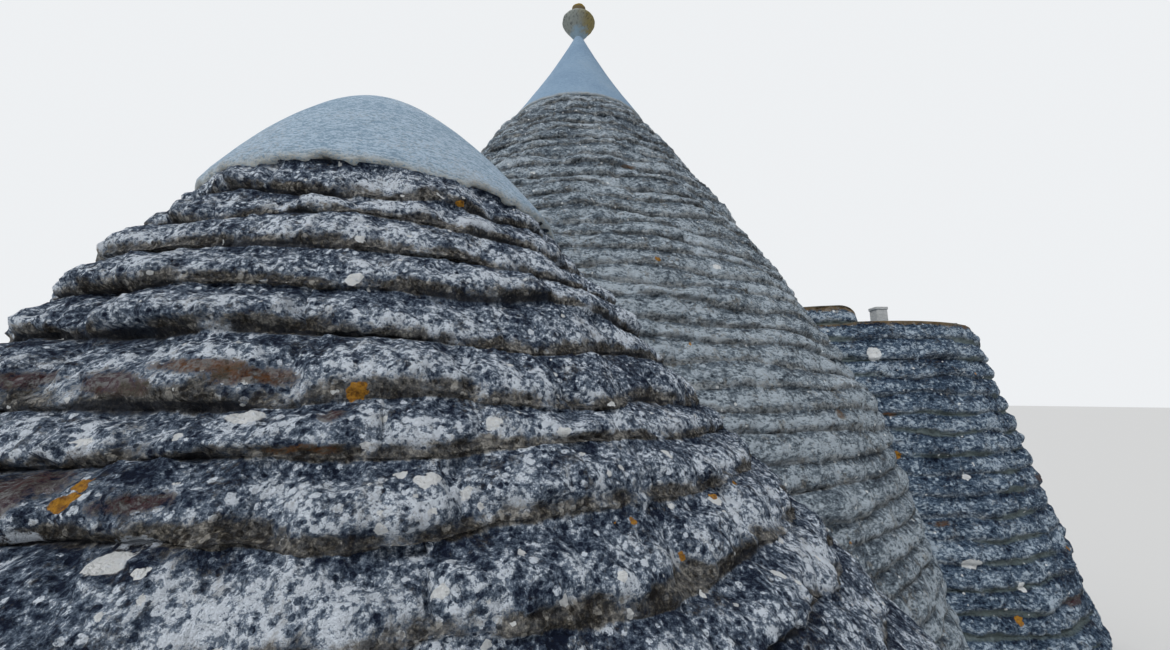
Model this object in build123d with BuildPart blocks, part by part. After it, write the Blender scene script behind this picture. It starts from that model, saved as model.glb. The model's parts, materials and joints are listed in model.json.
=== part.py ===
from build123d import *
from math import acos, atan2, cos, degrees, radians, sin
import os

# Millimetres. The origin is on the ground at the axis of the tall trullo, +Z is up, and
# +Y points at the side with the doorway. Three round masses of dry stone stand together:
# the tall cone, a low cone over an alcove, and an annex with a flat roof.

# Tall trullo, outer face of the stone: battered wall, haunch, then the straight cone
TALL_FOOT_RADIUS = 3950
TALL_SHOULDER_HEIGHT = 2600
TALL_SHOULDER_RADIUS = 3360
TALL_HAUNCH_HEIGHT = 4400
TALL_HAUNCH_RADIUS = 2340
TALL_TOP_HEIGHT = 6420
TALL_TOP_RADIUS = 1020

# Tall trullo, inside: round room, corbelled vault in two tiers, solid crown
ROOM_RADIUS = 2500
ROOM_HEIGHT = 2200
VAULT_TIER_HEIGHT = 3800
VAULT_TOP_HEIGHT = 5400
VAULT_TOP_RADIUS = 400

# Tall trullo, white cap and stone pinnacle; the ball's centre is this far above the neck
TALL_CAP_RADIUS = 1000
TALL_CAP_HEIGHT = 1710
TALL_CAP_WAIST = 35
TALL_CAP_SKIRT = 20
NECK_RADIUS = 65
BALL_CENTRE_RISE = 281
BALL_RADIUS = 255
BALL_HALF_HEIGHT = 105
BALL_SHOULDER_ANGLE = 40
BALL_BELLY_DROP = 25
KNOB_RADIUS = 110
KNOB_HEIGHT = 196
KNOB_ROUND = 57

# Low trullo: place of its axis, outer face of wall and cone, alcove inside; from the eaves
# up it leans to the west, this far sideways for each unit of rise
LOW_AXIS_X = -930
LOW_AXIS_Y = -2880
LOW_FOOT_RADIUS = 2830
LOW_WALL_TOP_RADIUS = 2680
LOW_WALL_HEIGHT = 1500
LOW_EAVES_RADIUS = 2740
LOW_TOP_HEIGHT = 3760
LOW_TOP_RADIUS = 1115
LOW_LEAN = 0.15
ALCOVE_RADIUS = 2150
ALCOVE_VAULT_HEIGHT = 3150
ALCOVE_VAULT_RADIUS = 450
LOW_SPREAD = 118

# Low trullo, white domed cap
LOW_CAP_RADIUS = 1150
LOW_CAP_SKIRT = 20
LOW_CAP_HEIGHT = 1065
LOW_CAP_SHOULDER_RADIUS = 468

# Annex: place of its axis, outer face, room inside, flat roof and what is left of a course
ANNEX_AXIS_X = 3320
ANNEX_AXIS_Y = 0
ANNEX_FOOT_RADIUS = 2300
ANNEX_TOP_HEIGHT = 3400
ANNEX_TOP_RADIUS = 1600
ANNEX_ROOM_RADIUS = 1500
ANNEX_CEILING_RADIUS = 950
ANNEX_ROOF_THICKNESS = 400
ANNEX_SPREAD = 130
UPPER_COURSE_HEIGHT = 190
UPPER_COURSE_DEPTH = 560
UPPER_COURSE_END_BEARING = -105

# Chimney on the annex roof
CHIMNEY_X = 4110
CHIMNEY_Y = -100
CHIMNEY_WIDTH = 150
CHIMNEY_HEIGHT = 405
CHIMNEY_FLUE = 80
CHIMNEY_CAP_OVERHANG = 8
CHIMNEY_CAP_THICKNESS = 40

# Ways through the wall of the tall trullo, each with a round arch
DOORWAY_WIDTH = 900
DOORWAY_SPRING_HEIGHT = 1500
PASSAGE_WIDTH = 860
PASSAGE_SPRING_HEIGHT = 1350
ALCOVE_PASSAGE_X = -900

# Courses: nominal heights, depth of the joint between two rolls, and the roll's shape
COURSE_HEIGHT = 180
TALL_COURSE_HEIGHT = 165
JOINT_DEPTH = 55
ROLL_LIP = 28
ROLL_BROW = 45
ROLL_BROW_SETBACK = 26

# Floor, and the gap left where one mass dies into another
FLOOR_THICKNESS = 80
SEAT_GAP = 0.5

# Bearings in degrees, anticlockwise from +X; the tall trullo is split into quarters
EAST = 0
BACK = 90
WEST = 180
FRONT = -90
QUARTER = 90
HALF_QUARTER = QUARTER / 2

NECK_HEIGHT = TALL_TOP_HEIGHT + TALL_CAP_HEIGHT
BALL_CENTRE_HEIGHT = NECK_HEIGHT + BALL_CENTRE_RISE
ANNEX_CEILING_HEIGHT = ANNEX_TOP_HEIGHT - ANNEX_ROOF_THICKNESS

TALL_AXIS = Axis((0, 0, 0), (0, 0, 1))
LOW_AXIS = Axis((LOW_AXIS_X, LOW_AXIS_Y, 0), (0, 0, 1))
ANNEX_AXIS = Axis((ANNEX_AXIS_X, ANNEX_AXIS_Y, 0), (0, 0, 1))

os.makedirs("parts", exist_ok=True)


class Face:
    """Outer face of a round mass: (height, radius) knots from the bottom up, in courses."""

    def __init__(self, course_height, *knots):
        self.course_height = course_height
        self.knots = knots

    def radius(self, height):
        """Radius at a height; the end runs carry on past the ends."""
        for (low, low_radius), (high, high_radius) in zip(self.knots, self.knots[1:]):
            if height <= high or high == self.knots[-1][0]:
                return low_radius + (high_radius - low_radius) * (height - low) / (high - low)

    def edge(self, low, high):
        """Outline of a stack of rolls: joint, lip, brow, joint, from the bottom up."""
        count = max(1, round((high - low) / self.course_height))
        joints = [low + (high - low) * step / count for step in range(count + 1)]
        points = []
        for joint, next_joint in zip(joints, joints[1:]):
            lip = joint + ROLL_LIP
            brow = next_joint - ROLL_BROW
            points.append((self.radius(joint) - JOINT_DEPTH, joint))
            points.append((self.radius(lip), lip))
            points.append((self.radius(brow) - ROLL_BROW_SETBACK, brow))
        points.append((self.radius(high) - JOINT_DEPTH, high))
        return points

    def edge_under_cap(self, low, high, cap_radius):
        """The same stack, its last roll closed against the foot of a cap."""
        *points, _, _ = self.edge(low, high)
        return [*points, (cap_radius, high)]


TALL_FACE = Face(
    TALL_COURSE_HEIGHT,
    (0, TALL_FOOT_RADIUS),
    (TALL_SHOULDER_HEIGHT, TALL_SHOULDER_RADIUS),
    (TALL_HAUNCH_HEIGHT, TALL_HAUNCH_RADIUS),
    (TALL_TOP_HEIGHT, TALL_TOP_RADIUS),
)
LOW_WALL_FACE = Face(
    COURSE_HEIGHT,
    (0, LOW_FOOT_RADIUS),
    (LOW_WALL_HEIGHT, LOW_WALL_TOP_RADIUS),
)
LOW_CONE_FACE = Face(
    COURSE_HEIGHT,
    (LOW_WALL_HEIGHT, LOW_EAVES_RADIUS),
    (LOW_TOP_HEIGHT, LOW_TOP_RADIUS),
)
ANNEX_FACE = Face(
    COURSE_HEIGHT,
    (0, ANNEX_FOOT_RADIUS),
    (ANNEX_TOP_HEIGHT, ANNEX_TOP_RADIUS),
)


def radial_plane(axis, bearing):
    """Upright plane through an axis, with its x towards a bearing and its y up."""
    outward = (cos(radians(bearing)), sin(radians(bearing)), 0)
    sideways = (sin(radians(bearing)), -cos(radians(bearing)), 0)
    return Plane(origin=axis.position, x_dir=outward, z_dir=sideways)


def sector(axis, face, low, high, inner, start, end):
    """Coursed wall or shell between two bearings; inner lists (radius, height) downwards."""
    with BuildPart() as piece:
        with BuildSketch(radial_plane(axis, start)):
            with BuildLine():
                Polyline(*face.edge(low, high), *inner, close=True)
            make_face()
        revolve(axis=axis, revolution_arc=end - start)
    return piece.part


def save(piece, label):
    """Name a finished piece and write it to its own file."""
    piece.part.label = label
    export_step(piece.part, f"parts/{label}.step")


# Smooth body that just clears the tall trullo's rolls, to cut its neighbours with
with BuildPart() as tall_clearance:
    with BuildSketch(radial_plane(TALL_AXIS, EAST)):
        with BuildLine():
            Polyline(
                (0, -COURSE_HEIGHT),
                (TALL_FACE.radius(-COURSE_HEIGHT) + SEAT_GAP, -COURSE_HEIGHT),
                *[(radius + SEAT_GAP, height) for height, radius in TALL_FACE.knots[1:]],
                (0, TALL_TOP_HEIGHT),
                close=True,
            )
        make_face()
    revolve(axis=TALL_AXIS)


class Way:
    """An arched way through the tall trullo's wall, at a bearing and moved to its left."""

    def __init__(self, bearing, offset, width, spring):
        self.bearing = bearing
        self.width = width
        self.spring = spring
        self.frame = Plane(
            origin=(-offset * sin(radians(bearing)), offset * cos(radians(bearing)), 0),
            x_dir=(-sin(radians(bearing)), cos(radians(bearing)), 0),
            z_dir=(cos(radians(bearing)), sin(radians(bearing)), 0),
        )

    def jamb(self, side):
        """Upright plane of one jamb; side is 1 or -1 and the plane faces the opening."""
        centre = self.frame.origin + self.frame.x_dir * (side * self.width / 2)
        return Plane(origin=centre, z_dir=self.frame.x_dir * -side)


DOORWAY = Way(BACK, 0, DOORWAY_WIDTH, DOORWAY_SPRING_HEIGHT)
ALCOVE_WAY = Way(FRONT, ALCOVE_PASSAGE_X, PASSAGE_WIDTH, PASSAGE_SPRING_HEIGHT)
ANNEX_WAY = Way(EAST, 0, PASSAGE_WIDTH, PASSAGE_SPRING_HEIGHT)

ROOM_WALL_INNER = [(ROOM_RADIUS, ROOM_HEIGHT), (ROOM_RADIUS, 0)]


def wall_quarter(bearing):
    """Quarter of the tall trullo's wall round a bearing."""
    start = bearing - HALF_QUARTER
    return sector(TALL_AXIS, TALL_FACE, 0, ROOM_HEIGHT, ROOM_WALL_INNER, start, start + QUARTER)


def wall_beside(way, side, label):
    """Wall from one jamb of a way to the next joint."""
    with BuildPart() as piece:
        add(wall_quarter(way.bearing))
        split(bisect_by=way.jamb(side), keep=Keep.BOTTOM)
    save(piece, label)


def wall_over(way, label):
    """Arch head: the wall between the jambs, from the arch up."""
    with BuildPart() as piece:
        add(wall_quarter(way.bearing))
        with BuildSketch(way.frame):
            with BuildLine():
                Polyline(
                    (-way.width / 2, way.spring),
                    (-way.width / 2, ROOM_HEIGHT),
                    (way.width / 2, ROOM_HEIGHT),
                    (way.width / 2, way.spring),
                )
                ThreePointArc(
                    (way.width / 2, way.spring),
                    (0, way.spring + way.width / 2),
                    (-way.width / 2, way.spring),
                )
            make_face()
        extrude(amount=TALL_FOOT_RADIUS, mode=Mode.INTERSECT)
    save(piece, label)


def floor_under(way, label):
    """Threshold slab: fills the way between its jambs up to the floor."""
    with BuildPart() as piece:
        add(wall_quarter(way.bearing))
        with BuildSketch(way.frame):
            with BuildLine():
                Polyline(
                    (-way.width / 2, 0),
                    (way.width / 2, 0),
                    (way.width / 2, FLOOR_THICKNESS),
                    (-way.width / 2, FLOOR_THICKNESS),
                    close=True,
                )
            make_face()
        extrude(amount=TALL_FOOT_RADIUS, mode=Mode.INTERSECT)
    save(piece, label)


# Wall of the tall trullo, split at the joints and beside and over each way
wall_beside(ANNEX_WAY, -1, "tall_wall_east_front")
wall_beside(ANNEX_WAY, 1, "tall_wall_east_back")
wall_beside(DOORWAY, -1, "tall_wall_back_east")
wall_beside(DOORWAY, 1, "tall_wall_back_west")
wall_beside(ALCOVE_WAY, -1, "tall_wall_front_west")
wall_beside(ALCOVE_WAY, 1, "tall_wall_front_east")
wall_over(DOORWAY, "doorway_arch")
wall_over(ALCOVE_WAY, "alcove_arch")
wall_over(ANNEX_WAY, "annex_arch")
floor_under(DOORWAY, "doorway_threshold")
floor_under(ALCOVE_WAY, "alcove_threshold")
floor_under(ANNEX_WAY, "annex_threshold")

with BuildPart() as tall_wall_west:
    add(wall_quarter(WEST))
save(tall_wall_west, "tall_wall_west")


# Corbelled vault and cone of the tall trullo, in quarters
def vault_radius(height):
    """Inner radius of the tall trullo's vault at a height."""
    rise = (height - ROOM_HEIGHT) / (VAULT_TOP_HEIGHT - ROOM_HEIGHT)
    return ROOM_RADIUS + (VAULT_TOP_RADIUS - ROOM_RADIUS) * rise


for tier, low, high in (
    ("lower", ROOM_HEIGHT, VAULT_TIER_HEIGHT),
    ("upper", VAULT_TIER_HEIGHT, VAULT_TOP_HEIGHT),
):
    for side, bearing in (("east", EAST), ("back", BACK), ("west", WEST), ("front", FRONT)):
        inner = [(vault_radius(high), high), (vault_radius(low), low)]
        start = bearing - HALF_QUARTER
        with BuildPart() as cone_quarter:
            add(sector(TALL_AXIS, TALL_FACE, low, high, inner, start, start + QUARTER))
        save(cone_quarter, f"tall_cone_{tier}_{side}")

with BuildPart() as tall_crown:
    with BuildSketch(radial_plane(TALL_AXIS, EAST)):
        with BuildLine():
            Polyline(
                *TALL_FACE.edge_under_cap(VAULT_TOP_HEIGHT, TALL_TOP_HEIGHT, TALL_CAP_RADIUS),
                (0, TALL_TOP_HEIGHT),
                (0, VAULT_TOP_HEIGHT),
                close=True,
            )
        make_face()
    revolve(axis=TALL_AXIS)
save(tall_crown, "tall_crown")

# White cap: a concave cone on a short upright skirt, drawn in to the neck
cap_middle_height = (TALL_TOP_HEIGHT + TALL_CAP_SKIRT + NECK_HEIGHT) / 2
cap_middle_radius = (TALL_CAP_RADIUS + NECK_RADIUS) / 2 - TALL_CAP_WAIST
with BuildPart() as tall_cap:
    with BuildSketch(radial_plane(TALL_AXIS, EAST)):
        with BuildLine():
            Polyline(
                (NECK_RADIUS, NECK_HEIGHT),
                (0, NECK_HEIGHT),
                (0, TALL_TOP_HEIGHT),
                (TALL_CAP_RADIUS, TALL_TOP_HEIGHT),
                (TALL_CAP_RADIUS, TALL_TOP_HEIGHT + TALL_CAP_SKIRT),
            )
            ThreePointArc(
                (TALL_CAP_RADIUS, TALL_TOP_HEIGHT + TALL_CAP_SKIRT),
                (cap_middle_radius, cap_middle_height),
                (NECK_RADIUS, NECK_HEIGHT),
            )
        make_face()
    revolve(axis=TALL_AXIS)
save(tall_cap, "tall_cap")

# Stone ball drawn down into its neck, with a flat seat on top for the knob
def ball_point(angle):
    """Point of the ball's outline at an angle above its widest circle."""
    height = BALL_CENTRE_HEIGHT + BALL_HALF_HEIGHT * sin(radians(angle))
    return BALL_RADIUS * cos(radians(angle)), height


knob_seat = ball_point(degrees(acos(KNOB_RADIUS / BALL_RADIUS)))
knob_seat_height = knob_seat[1]
with BuildPart() as pinnacle_ball:
    with BuildSketch(radial_plane(TALL_AXIS, EAST)):
        with BuildLine():
            Polyline((NECK_RADIUS, NECK_HEIGHT), (0, NECK_HEIGHT), (0, knob_seat_height), knob_seat)
            ThreePointArc(knob_seat, ball_point(BALL_SHOULDER_ANGLE), ball_point(0))
            Bezier(
                ball_point(0),
                (BALL_RADIUS, BALL_CENTRE_HEIGHT - BALL_BELLY_DROP),
                (NECK_RADIUS, NECK_HEIGHT),
            )
        make_face()
    revolve(axis=TALL_AXIS)
save(pinnacle_ball, "pinnacle_ball")

with BuildPart() as pinnacle_knob:
    with BuildSketch(Plane((0, 0, knob_seat_height))):
        Circle(KNOB_RADIUS)
    extrude(amount=KNOB_HEIGHT)
    fillet(pinnacle_knob.edges().sort_by(Axis.Z)[-1], radius=KNOB_ROUND)
save(pinnacle_knob, "pinnacle_knob")

with BuildPart() as tall_floor:
    Cylinder(
        ROOM_RADIUS - SEAT_GAP,
        FLOOR_THICKNESS,
        align=(Align.CENTER, Align.CENTER, Align.MIN),
    )
save(tall_floor, "tall_floor")


# Low trullo: the tall one stands in its back, so its wall and cone are open rings
low_bearing = degrees(atan2(LOW_AXIS_Y, LOW_AXIS_X))
LOW_THIRDS = (-LOW_SPREAD, -LOW_SPREAD / 3, LOW_SPREAD / 3, LOW_SPREAD)


leaning = Matrix(
    [
        [1, 0, -LOW_LEAN, LOW_LEAN * LOW_WALL_HEIGHT],
        [0, 1, 0, 0],
        [0, 0, 1, 0],
        [0, 0, 0, 1],
    ]
)


def seat_against_tall():
    """Cut the part in hand back to the tall trullo's face."""
    add(tall_clearance.part, mode=Mode.SUBTRACT)


def save_leaning(upright, label):
    """Lean an upright solid from the eaves up, seat it against the tall trullo and save it."""
    with BuildPart() as piece:
        add(upright.transform_geometry(leaning))
        seat_against_tall()
    save(piece, label)


for index, side in enumerate(("west", "front", "east")):
    start = low_bearing - LOW_THIRDS[index + 1]
    end = low_bearing - LOW_THIRDS[index]
    wall_inner = [(ALCOVE_RADIUS, LOW_WALL_HEIGHT), (ALCOVE_RADIUS, 0)]
    with BuildPart() as low_wall:
        add(sector(LOW_AXIS, LOW_WALL_FACE, 0, LOW_WALL_HEIGHT, wall_inner, start, end))
        seat_against_tall()
    save(low_wall, f"low_wall_{side}")

    vault_inner = [
        (ALCOVE_VAULT_RADIUS, ALCOVE_VAULT_HEIGHT),
        (ALCOVE_RADIUS, LOW_WALL_HEIGHT),
    ]
    upright_cone = sector(
        LOW_AXIS,
        LOW_CONE_FACE,
        LOW_WALL_HEIGHT,
        ALCOVE_VAULT_HEIGHT,
        vault_inner,
        start,
        end,
    )
    save_leaning(upright_cone, f"low_cone_{side}")

with BuildPart() as upright_crown:
    with BuildSketch(radial_plane(LOW_AXIS, EAST)):
        with BuildLine():
            Polyline(
                *LOW_CONE_FACE.edge_under_cap(ALCOVE_VAULT_HEIGHT, LOW_TOP_HEIGHT, LOW_CAP_RADIUS),
                (0, LOW_TOP_HEIGHT),
                (0, ALCOVE_VAULT_HEIGHT),
                close=True,
            )
        make_face()
    revolve(axis=LOW_AXIS)
save_leaning(upright_crown.part, "low_crown")

# White domed cap on a short upright skirt
low_cap_spring = LOW_TOP_HEIGHT + LOW_CAP_SKIRT
low_cap_top = LOW_TOP_HEIGHT + LOW_CAP_HEIGHT
with BuildPart() as upright_dome:
    with BuildSketch(radial_plane(LOW_AXIS, EAST)):
        with BuildLine():
            Polyline(
                (0, low_cap_top),
                (0, LOW_TOP_HEIGHT),
                (LOW_CAP_RADIUS, LOW_TOP_HEIGHT),
                (LOW_CAP_RADIUS, low_cap_spring),
            )
            Bezier(
                (LOW_CAP_RADIUS, low_cap_spring),
                (LOW_CAP_SHOULDER_RADIUS, low_cap_top),
                (0, low_cap_top),
            )
        make_face()
    revolve(axis=LOW_AXIS)
save_leaning(upright_dome.part, "low_cap")

with BuildPart() as alcove_floor:
    with BuildSketch(Plane(LOW_AXIS.position)):
        Circle(ALCOVE_RADIUS - SEAT_GAP)
    extrude(amount=FLOOR_THICKNESS)
    seat_against_tall()
save(alcove_floor, "alcove_floor")


# Annex: an open ring against the tall trullo, with a flat roof
ANNEX_THIRDS = (-ANNEX_SPREAD, -ANNEX_SPREAD / 3, ANNEX_SPREAD / 3, ANNEX_SPREAD)
annex_bearing = degrees(atan2(ANNEX_AXIS_Y, ANNEX_AXIS_X))
annex_inner = [(ANNEX_CEILING_RADIUS, ANNEX_CEILING_HEIGHT), (ANNEX_ROOM_RADIUS, 0)]

for index, side in enumerate(("front", "side", "back")):
    start = annex_bearing + ANNEX_THIRDS[index]
    end = annex_bearing + ANNEX_THIRDS[index + 1]
    with BuildPart() as annex_wall:
        add(sector(ANNEX_AXIS, ANNEX_FACE, 0, ANNEX_CEILING_HEIGHT, annex_inner, start, end))
        seat_against_tall()
    save(annex_wall, f"annex_wall_{side}")

with BuildPart() as annex_roof:
    with BuildSketch(radial_plane(ANNEX_AXIS, EAST)):
        with BuildLine():
            Polyline(
                *ANNEX_FACE.edge(ANNEX_CEILING_HEIGHT, ANNEX_TOP_HEIGHT),
                (0, ANNEX_TOP_HEIGHT),
                (0, ANNEX_CEILING_HEIGHT),
                close=True,
            )
        make_face()
    revolve(axis=ANNEX_AXIS)
    seat_against_tall()
    with BuildSketch(Plane((CHIMNEY_X, CHIMNEY_Y, ANNEX_CEILING_HEIGHT))):
        Rectangle(CHIMNEY_FLUE, CHIMNEY_FLUE)
    extrude(amount=ANNEX_ROOF_THICKNESS, mode=Mode.SUBTRACT)
save(annex_roof, "annex_roof")

# What is left of one more course, on the front rim beside the tall trullo
upper_top = ANNEX_TOP_HEIGHT + UPPER_COURSE_HEIGHT
upper_inner_radius = ANNEX_TOP_RADIUS - UPPER_COURSE_DEPTH
upper_inner = [(upper_inner_radius, upper_top), (upper_inner_radius, ANNEX_TOP_HEIGHT)]
with BuildPart() as annex_upper_course:
    add(
        sector(
            ANNEX_AXIS,
            ANNEX_FACE,
            ANNEX_TOP_HEIGHT,
            upper_top,
            upper_inner,
            annex_bearing - ANNEX_SPREAD,
            UPPER_COURSE_END_BEARING,
        )
    )
    seat_against_tall()
save(annex_upper_course, "annex_upper_course")

annex_lean = (ANNEX_CEILING_RADIUS - ANNEX_ROOM_RADIUS) / ANNEX_CEILING_HEIGHT
annex_floor_radius = ANNEX_ROOM_RADIUS - SEAT_GAP
with BuildPart() as annex_floor:
    with BuildSketch(radial_plane(ANNEX_AXIS, EAST)):
        with BuildLine():
            Polyline(
                (0, 0),
                (annex_floor_radius, 0),
                (annex_floor_radius + annex_lean * FLOOR_THICKNESS, FLOOR_THICKNESS),
                (0, FLOOR_THICKNESS),
                close=True,
            )
        make_face()
    revolve(axis=ANNEX_AXIS)
    seat_against_tall()
save(annex_floor, "annex_floor")

# Chimney: a plastered shaft with a flue, and the thin slab round its mouth
with BuildPart() as chimney_shaft:
    with BuildSketch(Plane((CHIMNEY_X, CHIMNEY_Y, ANNEX_TOP_HEIGHT))):
        Rectangle(CHIMNEY_WIDTH, CHIMNEY_WIDTH)
        Rectangle(CHIMNEY_FLUE, CHIMNEY_FLUE, mode=Mode.SUBTRACT)
    extrude(amount=CHIMNEY_HEIGHT)
save(chimney_shaft, "chimney_shaft")

cap_width = CHIMNEY_WIDTH + 2 * CHIMNEY_CAP_OVERHANG
with BuildPart() as chimney_cap:
    with BuildSketch(Plane((CHIMNEY_X, CHIMNEY_Y, ANNEX_TOP_HEIGHT + CHIMNEY_HEIGHT))):
        Rectangle(cap_width, cap_width)
        Rectangle(CHIMNEY_FLUE, CHIMNEY_FLUE, mode=Mode.SUBTRACT)
    extrude(amount=CHIMNEY_CAP_THICKNESS)
save(chimney_cap, "chimney_cap")
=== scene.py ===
"""Drystone trullo house: courses of stone, white caps, pinnacle, annex and chimney."""

import itertools
import json
import logging
import math
from contextlib import contextmanager
from dataclasses import dataclass, field
from enum import Enum
from functools import partial
from typing import Iterator, Optional, Sequence

import bpy
import numpy as np
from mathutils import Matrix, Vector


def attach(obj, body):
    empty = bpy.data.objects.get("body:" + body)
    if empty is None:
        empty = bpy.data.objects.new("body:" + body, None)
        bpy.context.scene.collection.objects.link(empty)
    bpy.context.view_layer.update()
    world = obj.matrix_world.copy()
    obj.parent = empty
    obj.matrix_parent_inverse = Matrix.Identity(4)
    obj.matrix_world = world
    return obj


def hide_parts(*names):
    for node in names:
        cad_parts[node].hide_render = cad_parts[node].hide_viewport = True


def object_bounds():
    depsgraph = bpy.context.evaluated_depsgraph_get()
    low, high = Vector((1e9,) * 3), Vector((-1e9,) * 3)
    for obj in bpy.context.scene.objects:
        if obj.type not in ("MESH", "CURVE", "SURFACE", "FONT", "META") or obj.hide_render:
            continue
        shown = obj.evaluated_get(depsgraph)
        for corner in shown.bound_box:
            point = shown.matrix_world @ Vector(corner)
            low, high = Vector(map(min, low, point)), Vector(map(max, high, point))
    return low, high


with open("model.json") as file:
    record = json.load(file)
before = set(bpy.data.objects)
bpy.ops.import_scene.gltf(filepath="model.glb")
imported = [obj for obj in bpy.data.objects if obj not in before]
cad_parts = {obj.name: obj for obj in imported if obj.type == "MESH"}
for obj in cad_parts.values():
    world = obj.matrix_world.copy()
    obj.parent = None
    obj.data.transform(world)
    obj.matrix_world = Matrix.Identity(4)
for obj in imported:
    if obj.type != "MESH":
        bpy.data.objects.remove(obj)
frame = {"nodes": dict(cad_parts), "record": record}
CAD_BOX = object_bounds()

log = logging.getLogger("trullo")

Point = tuple[float, float]
Place = tuple[float, float, float]
Colour = tuple[float, float, float]
# A noise is (scale, detail, roughness, flatness, shift); spots are (scale, largest, share, shift)
Noise = tuple[float, float, float, float, float]
Spots = tuple[float, float, float, float]
Piece = bpy.types.Object
Material = bpy.types.Material
Socket = bpy.types.NodeSocket

# Outer faces as (height, radius) knots, in metres, each about its own upright axis
TALL_AXIS: Point = (0.0, 0.0)
TALL_FACE = ((0.0, 3.95), (2.6, 3.36), (4.4, 2.34), (6.42, 1.02))
TALL_COURSE = 0.165
ROOM_RADIUS = 2.5
ROOM_HEIGHT = 2.2
VAULT_TIER_HEIGHT = 3.8
VAULT_TOP_HEIGHT = 5.4
VAULT_TOP_RADIUS = 0.4
TALL_TOP = 6.42
TALL_CAP_RADIUS = 1.0
TALL_CAP_WAIST = 0.035
NECK_HEIGHT = 8.13
NECK_RADIUS = 0.065
BALL_HEIGHT = 8.411
BALL_RADIUS = 0.255
BALL_HALF_HEIGHT = 0.105
BALL_BELLY_DROP = 0.025
KNOB_RADIUS = 0.11
KNOB_HEIGHT = 0.196
KNOB_ROUND = 0.057

# The low trullo leans to the west from its eaves up, this far for each metre of rise; its
# joints are as uneven as the photograph shows them
LOW_AXIS: Point = (-0.93, -2.88)
LOW_WALL_FACE = ((0.0, 2.83), (1.5, 2.68))
LOW_CONE_FACE = ((1.5, 2.74), (3.76, 1.115))
LOW_LEAN = 0.15
LOW_COURSE = 0.18
LOW_EAVES = 1.5
LOW_CONE_JOINTS = (1.5, 1.7, 1.9, 2.1, 2.3, 2.45, 2.59, 2.81, 3.0, 3.19)
LOW_CROWN_JOINTS = (3.19, 3.38, 3.57, 3.76)
LOW_TOP = 3.76
LOW_CAP_RADIUS = 1.15
LOW_CAP_SHOULDER = 0.468
LOW_CAP_TOP = 4.825
ALCOVE_RADIUS = 2.15
ALCOVE_VAULT_RADIUS = 0.45

ANNEX_AXIS: Point = (3.32, 0.0)
ANNEX_FACE = ((0.0, 2.3), (3.4, 1.6))
ANNEX_COURSE = 0.18
ANNEX_CEILING = 3.0
ANNEX_TOP = 3.4
ANNEX_ROOM_RADIUS = 1.5
ANNEX_CEILING_RADIUS = 0.95
UPPER_COURSE_HEIGHT = 0.19
UPPER_COURSE_DEPTH = 0.56

CHIMNEY: Point = (4.11, -0.1)
CHIMNEY_WIDTH = 0.15
CHIMNEY_HEIGHT = 0.405
CHIMNEY_FLUE = 0.08
CHIMNEY_SLAB_OVERHANG = 0.008
CHIMNEY_SLAB = 0.04

DOORWAY_WIDTH = 0.9
DOORWAY_SPRING = 1.5
PASSAGE_WIDTH = 0.86
PASSAGE_SPRING = 1.35
ALCOVE_WAY_X = -0.9

PHOTO_WIDTH = 1170
PHOTO_HEIGHT = 650

# Lattice noise: primes that mix the cell's place and the seed, then two stirs of the bits
CELL_PRIMES = (73856093, 19349663, 83492791)
SEED_PRIME = 40503
STIRS = ((13, 1274126177), (15, 668265263))
BIT_MASK = 0x7FFFFFFF
NOISE_LEVELS = 20011
WEATHERED = "weathered"

# Finishes: the sheen they all share, and the edges of spots as shares of a cell
SHEEN = 0.2
SPOT_WOBBLE = 5.0
SPOT_RAGGED = 0.26
SPOT_BLUR = 0.02


class Role(Enum):
    """Material slots of the record that the pieces take their finish from."""

    STONE = "stone"
    PLASTER = "plaster"
    PINNACLE = "pinnacle_stone"
    DRESSED = "dressed_stone"
    PAVING = "paving"


class Growth(Enum):
    """Rosettes of lichen and stains that stand out one by one."""

    WHITE = "white"
    ORANGE = "orange"
    RUST = "rust"
    RUSSET = "russet"
    LIME = "lime"


@dataclass(frozen=True)
class Mark:
    """One rosette or stain: the pixel of the photograph it shows at, and its real size."""

    growth: Growth
    pixel: Point
    width: float
    height: float


def marks(growth: Growth, *rows: tuple[int, int, int, int]) -> list[Mark]:
    """Marks of one growth, each from its pixel (x, y) and its width and height in millimetres."""
    return [Mark(growth, (x, y), width / 1000.0, height / 1000.0) for x, y, width, height in rows]


LOW_MARKS = (
    *marks(
        Growth.WHITE,
        (246, 417, 95, 45), (493, 423, 55, 50), (430, 480, 85, 35), (467, 493, 34, 34), (381, 529, 30, 30),
        (400, 475, 34, 30), (354, 279, 62, 55), (361, 239, 48, 30), (440, 196, 45, 30), (384, 418, 38, 20),
        (335, 392, 18, 18), (565, 432, 45, 34), (582, 454, 26, 26), (612, 403, 30, 22), (481, 506, 22, 20),
        (432, 512, 22, 16), (108, 563, 95, 45), (140, 572, 34, 20),
    ),
    *marks(Growth.LIME, (139, 543, 110, 40), (23, 536, 120, 40)),
    *marks(
        Growth.WHITE,
        (83, 441, 60, 20), (622, 575, 30, 30), (716, 500, 60, 26), (702, 594, 20, 45), (779, 573, 60, 30),
        (671, 506, 22, 30),
    ),
    *marks(Growth.LIME, (475, 222, 260, 75)),
    *marks(
        Growth.ORANGE,
        (357, 392, 66, 58), (460, 203, 48, 34), (682, 557, 26, 26), (714, 496, 30, 22), (734, 483, 24, 26),
        (634, 522, 26, 28), (615, 524, 14, 14), (84, 485, 50, 30), (68, 502, 70, 40),
    ),
    *marks(Growth.RUST, (258, 376, 260, 75), (190, 366, 340, 60), (304, 450, 260, 30)),
    *marks(
        Growth.RUSSET,
        (112, 382, 300, 90), (30, 378, 280, 80), (140, 503, 200, 50), (18, 485, 240, 130),
        (333, 415, 110, 40),
    ),
)
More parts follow.
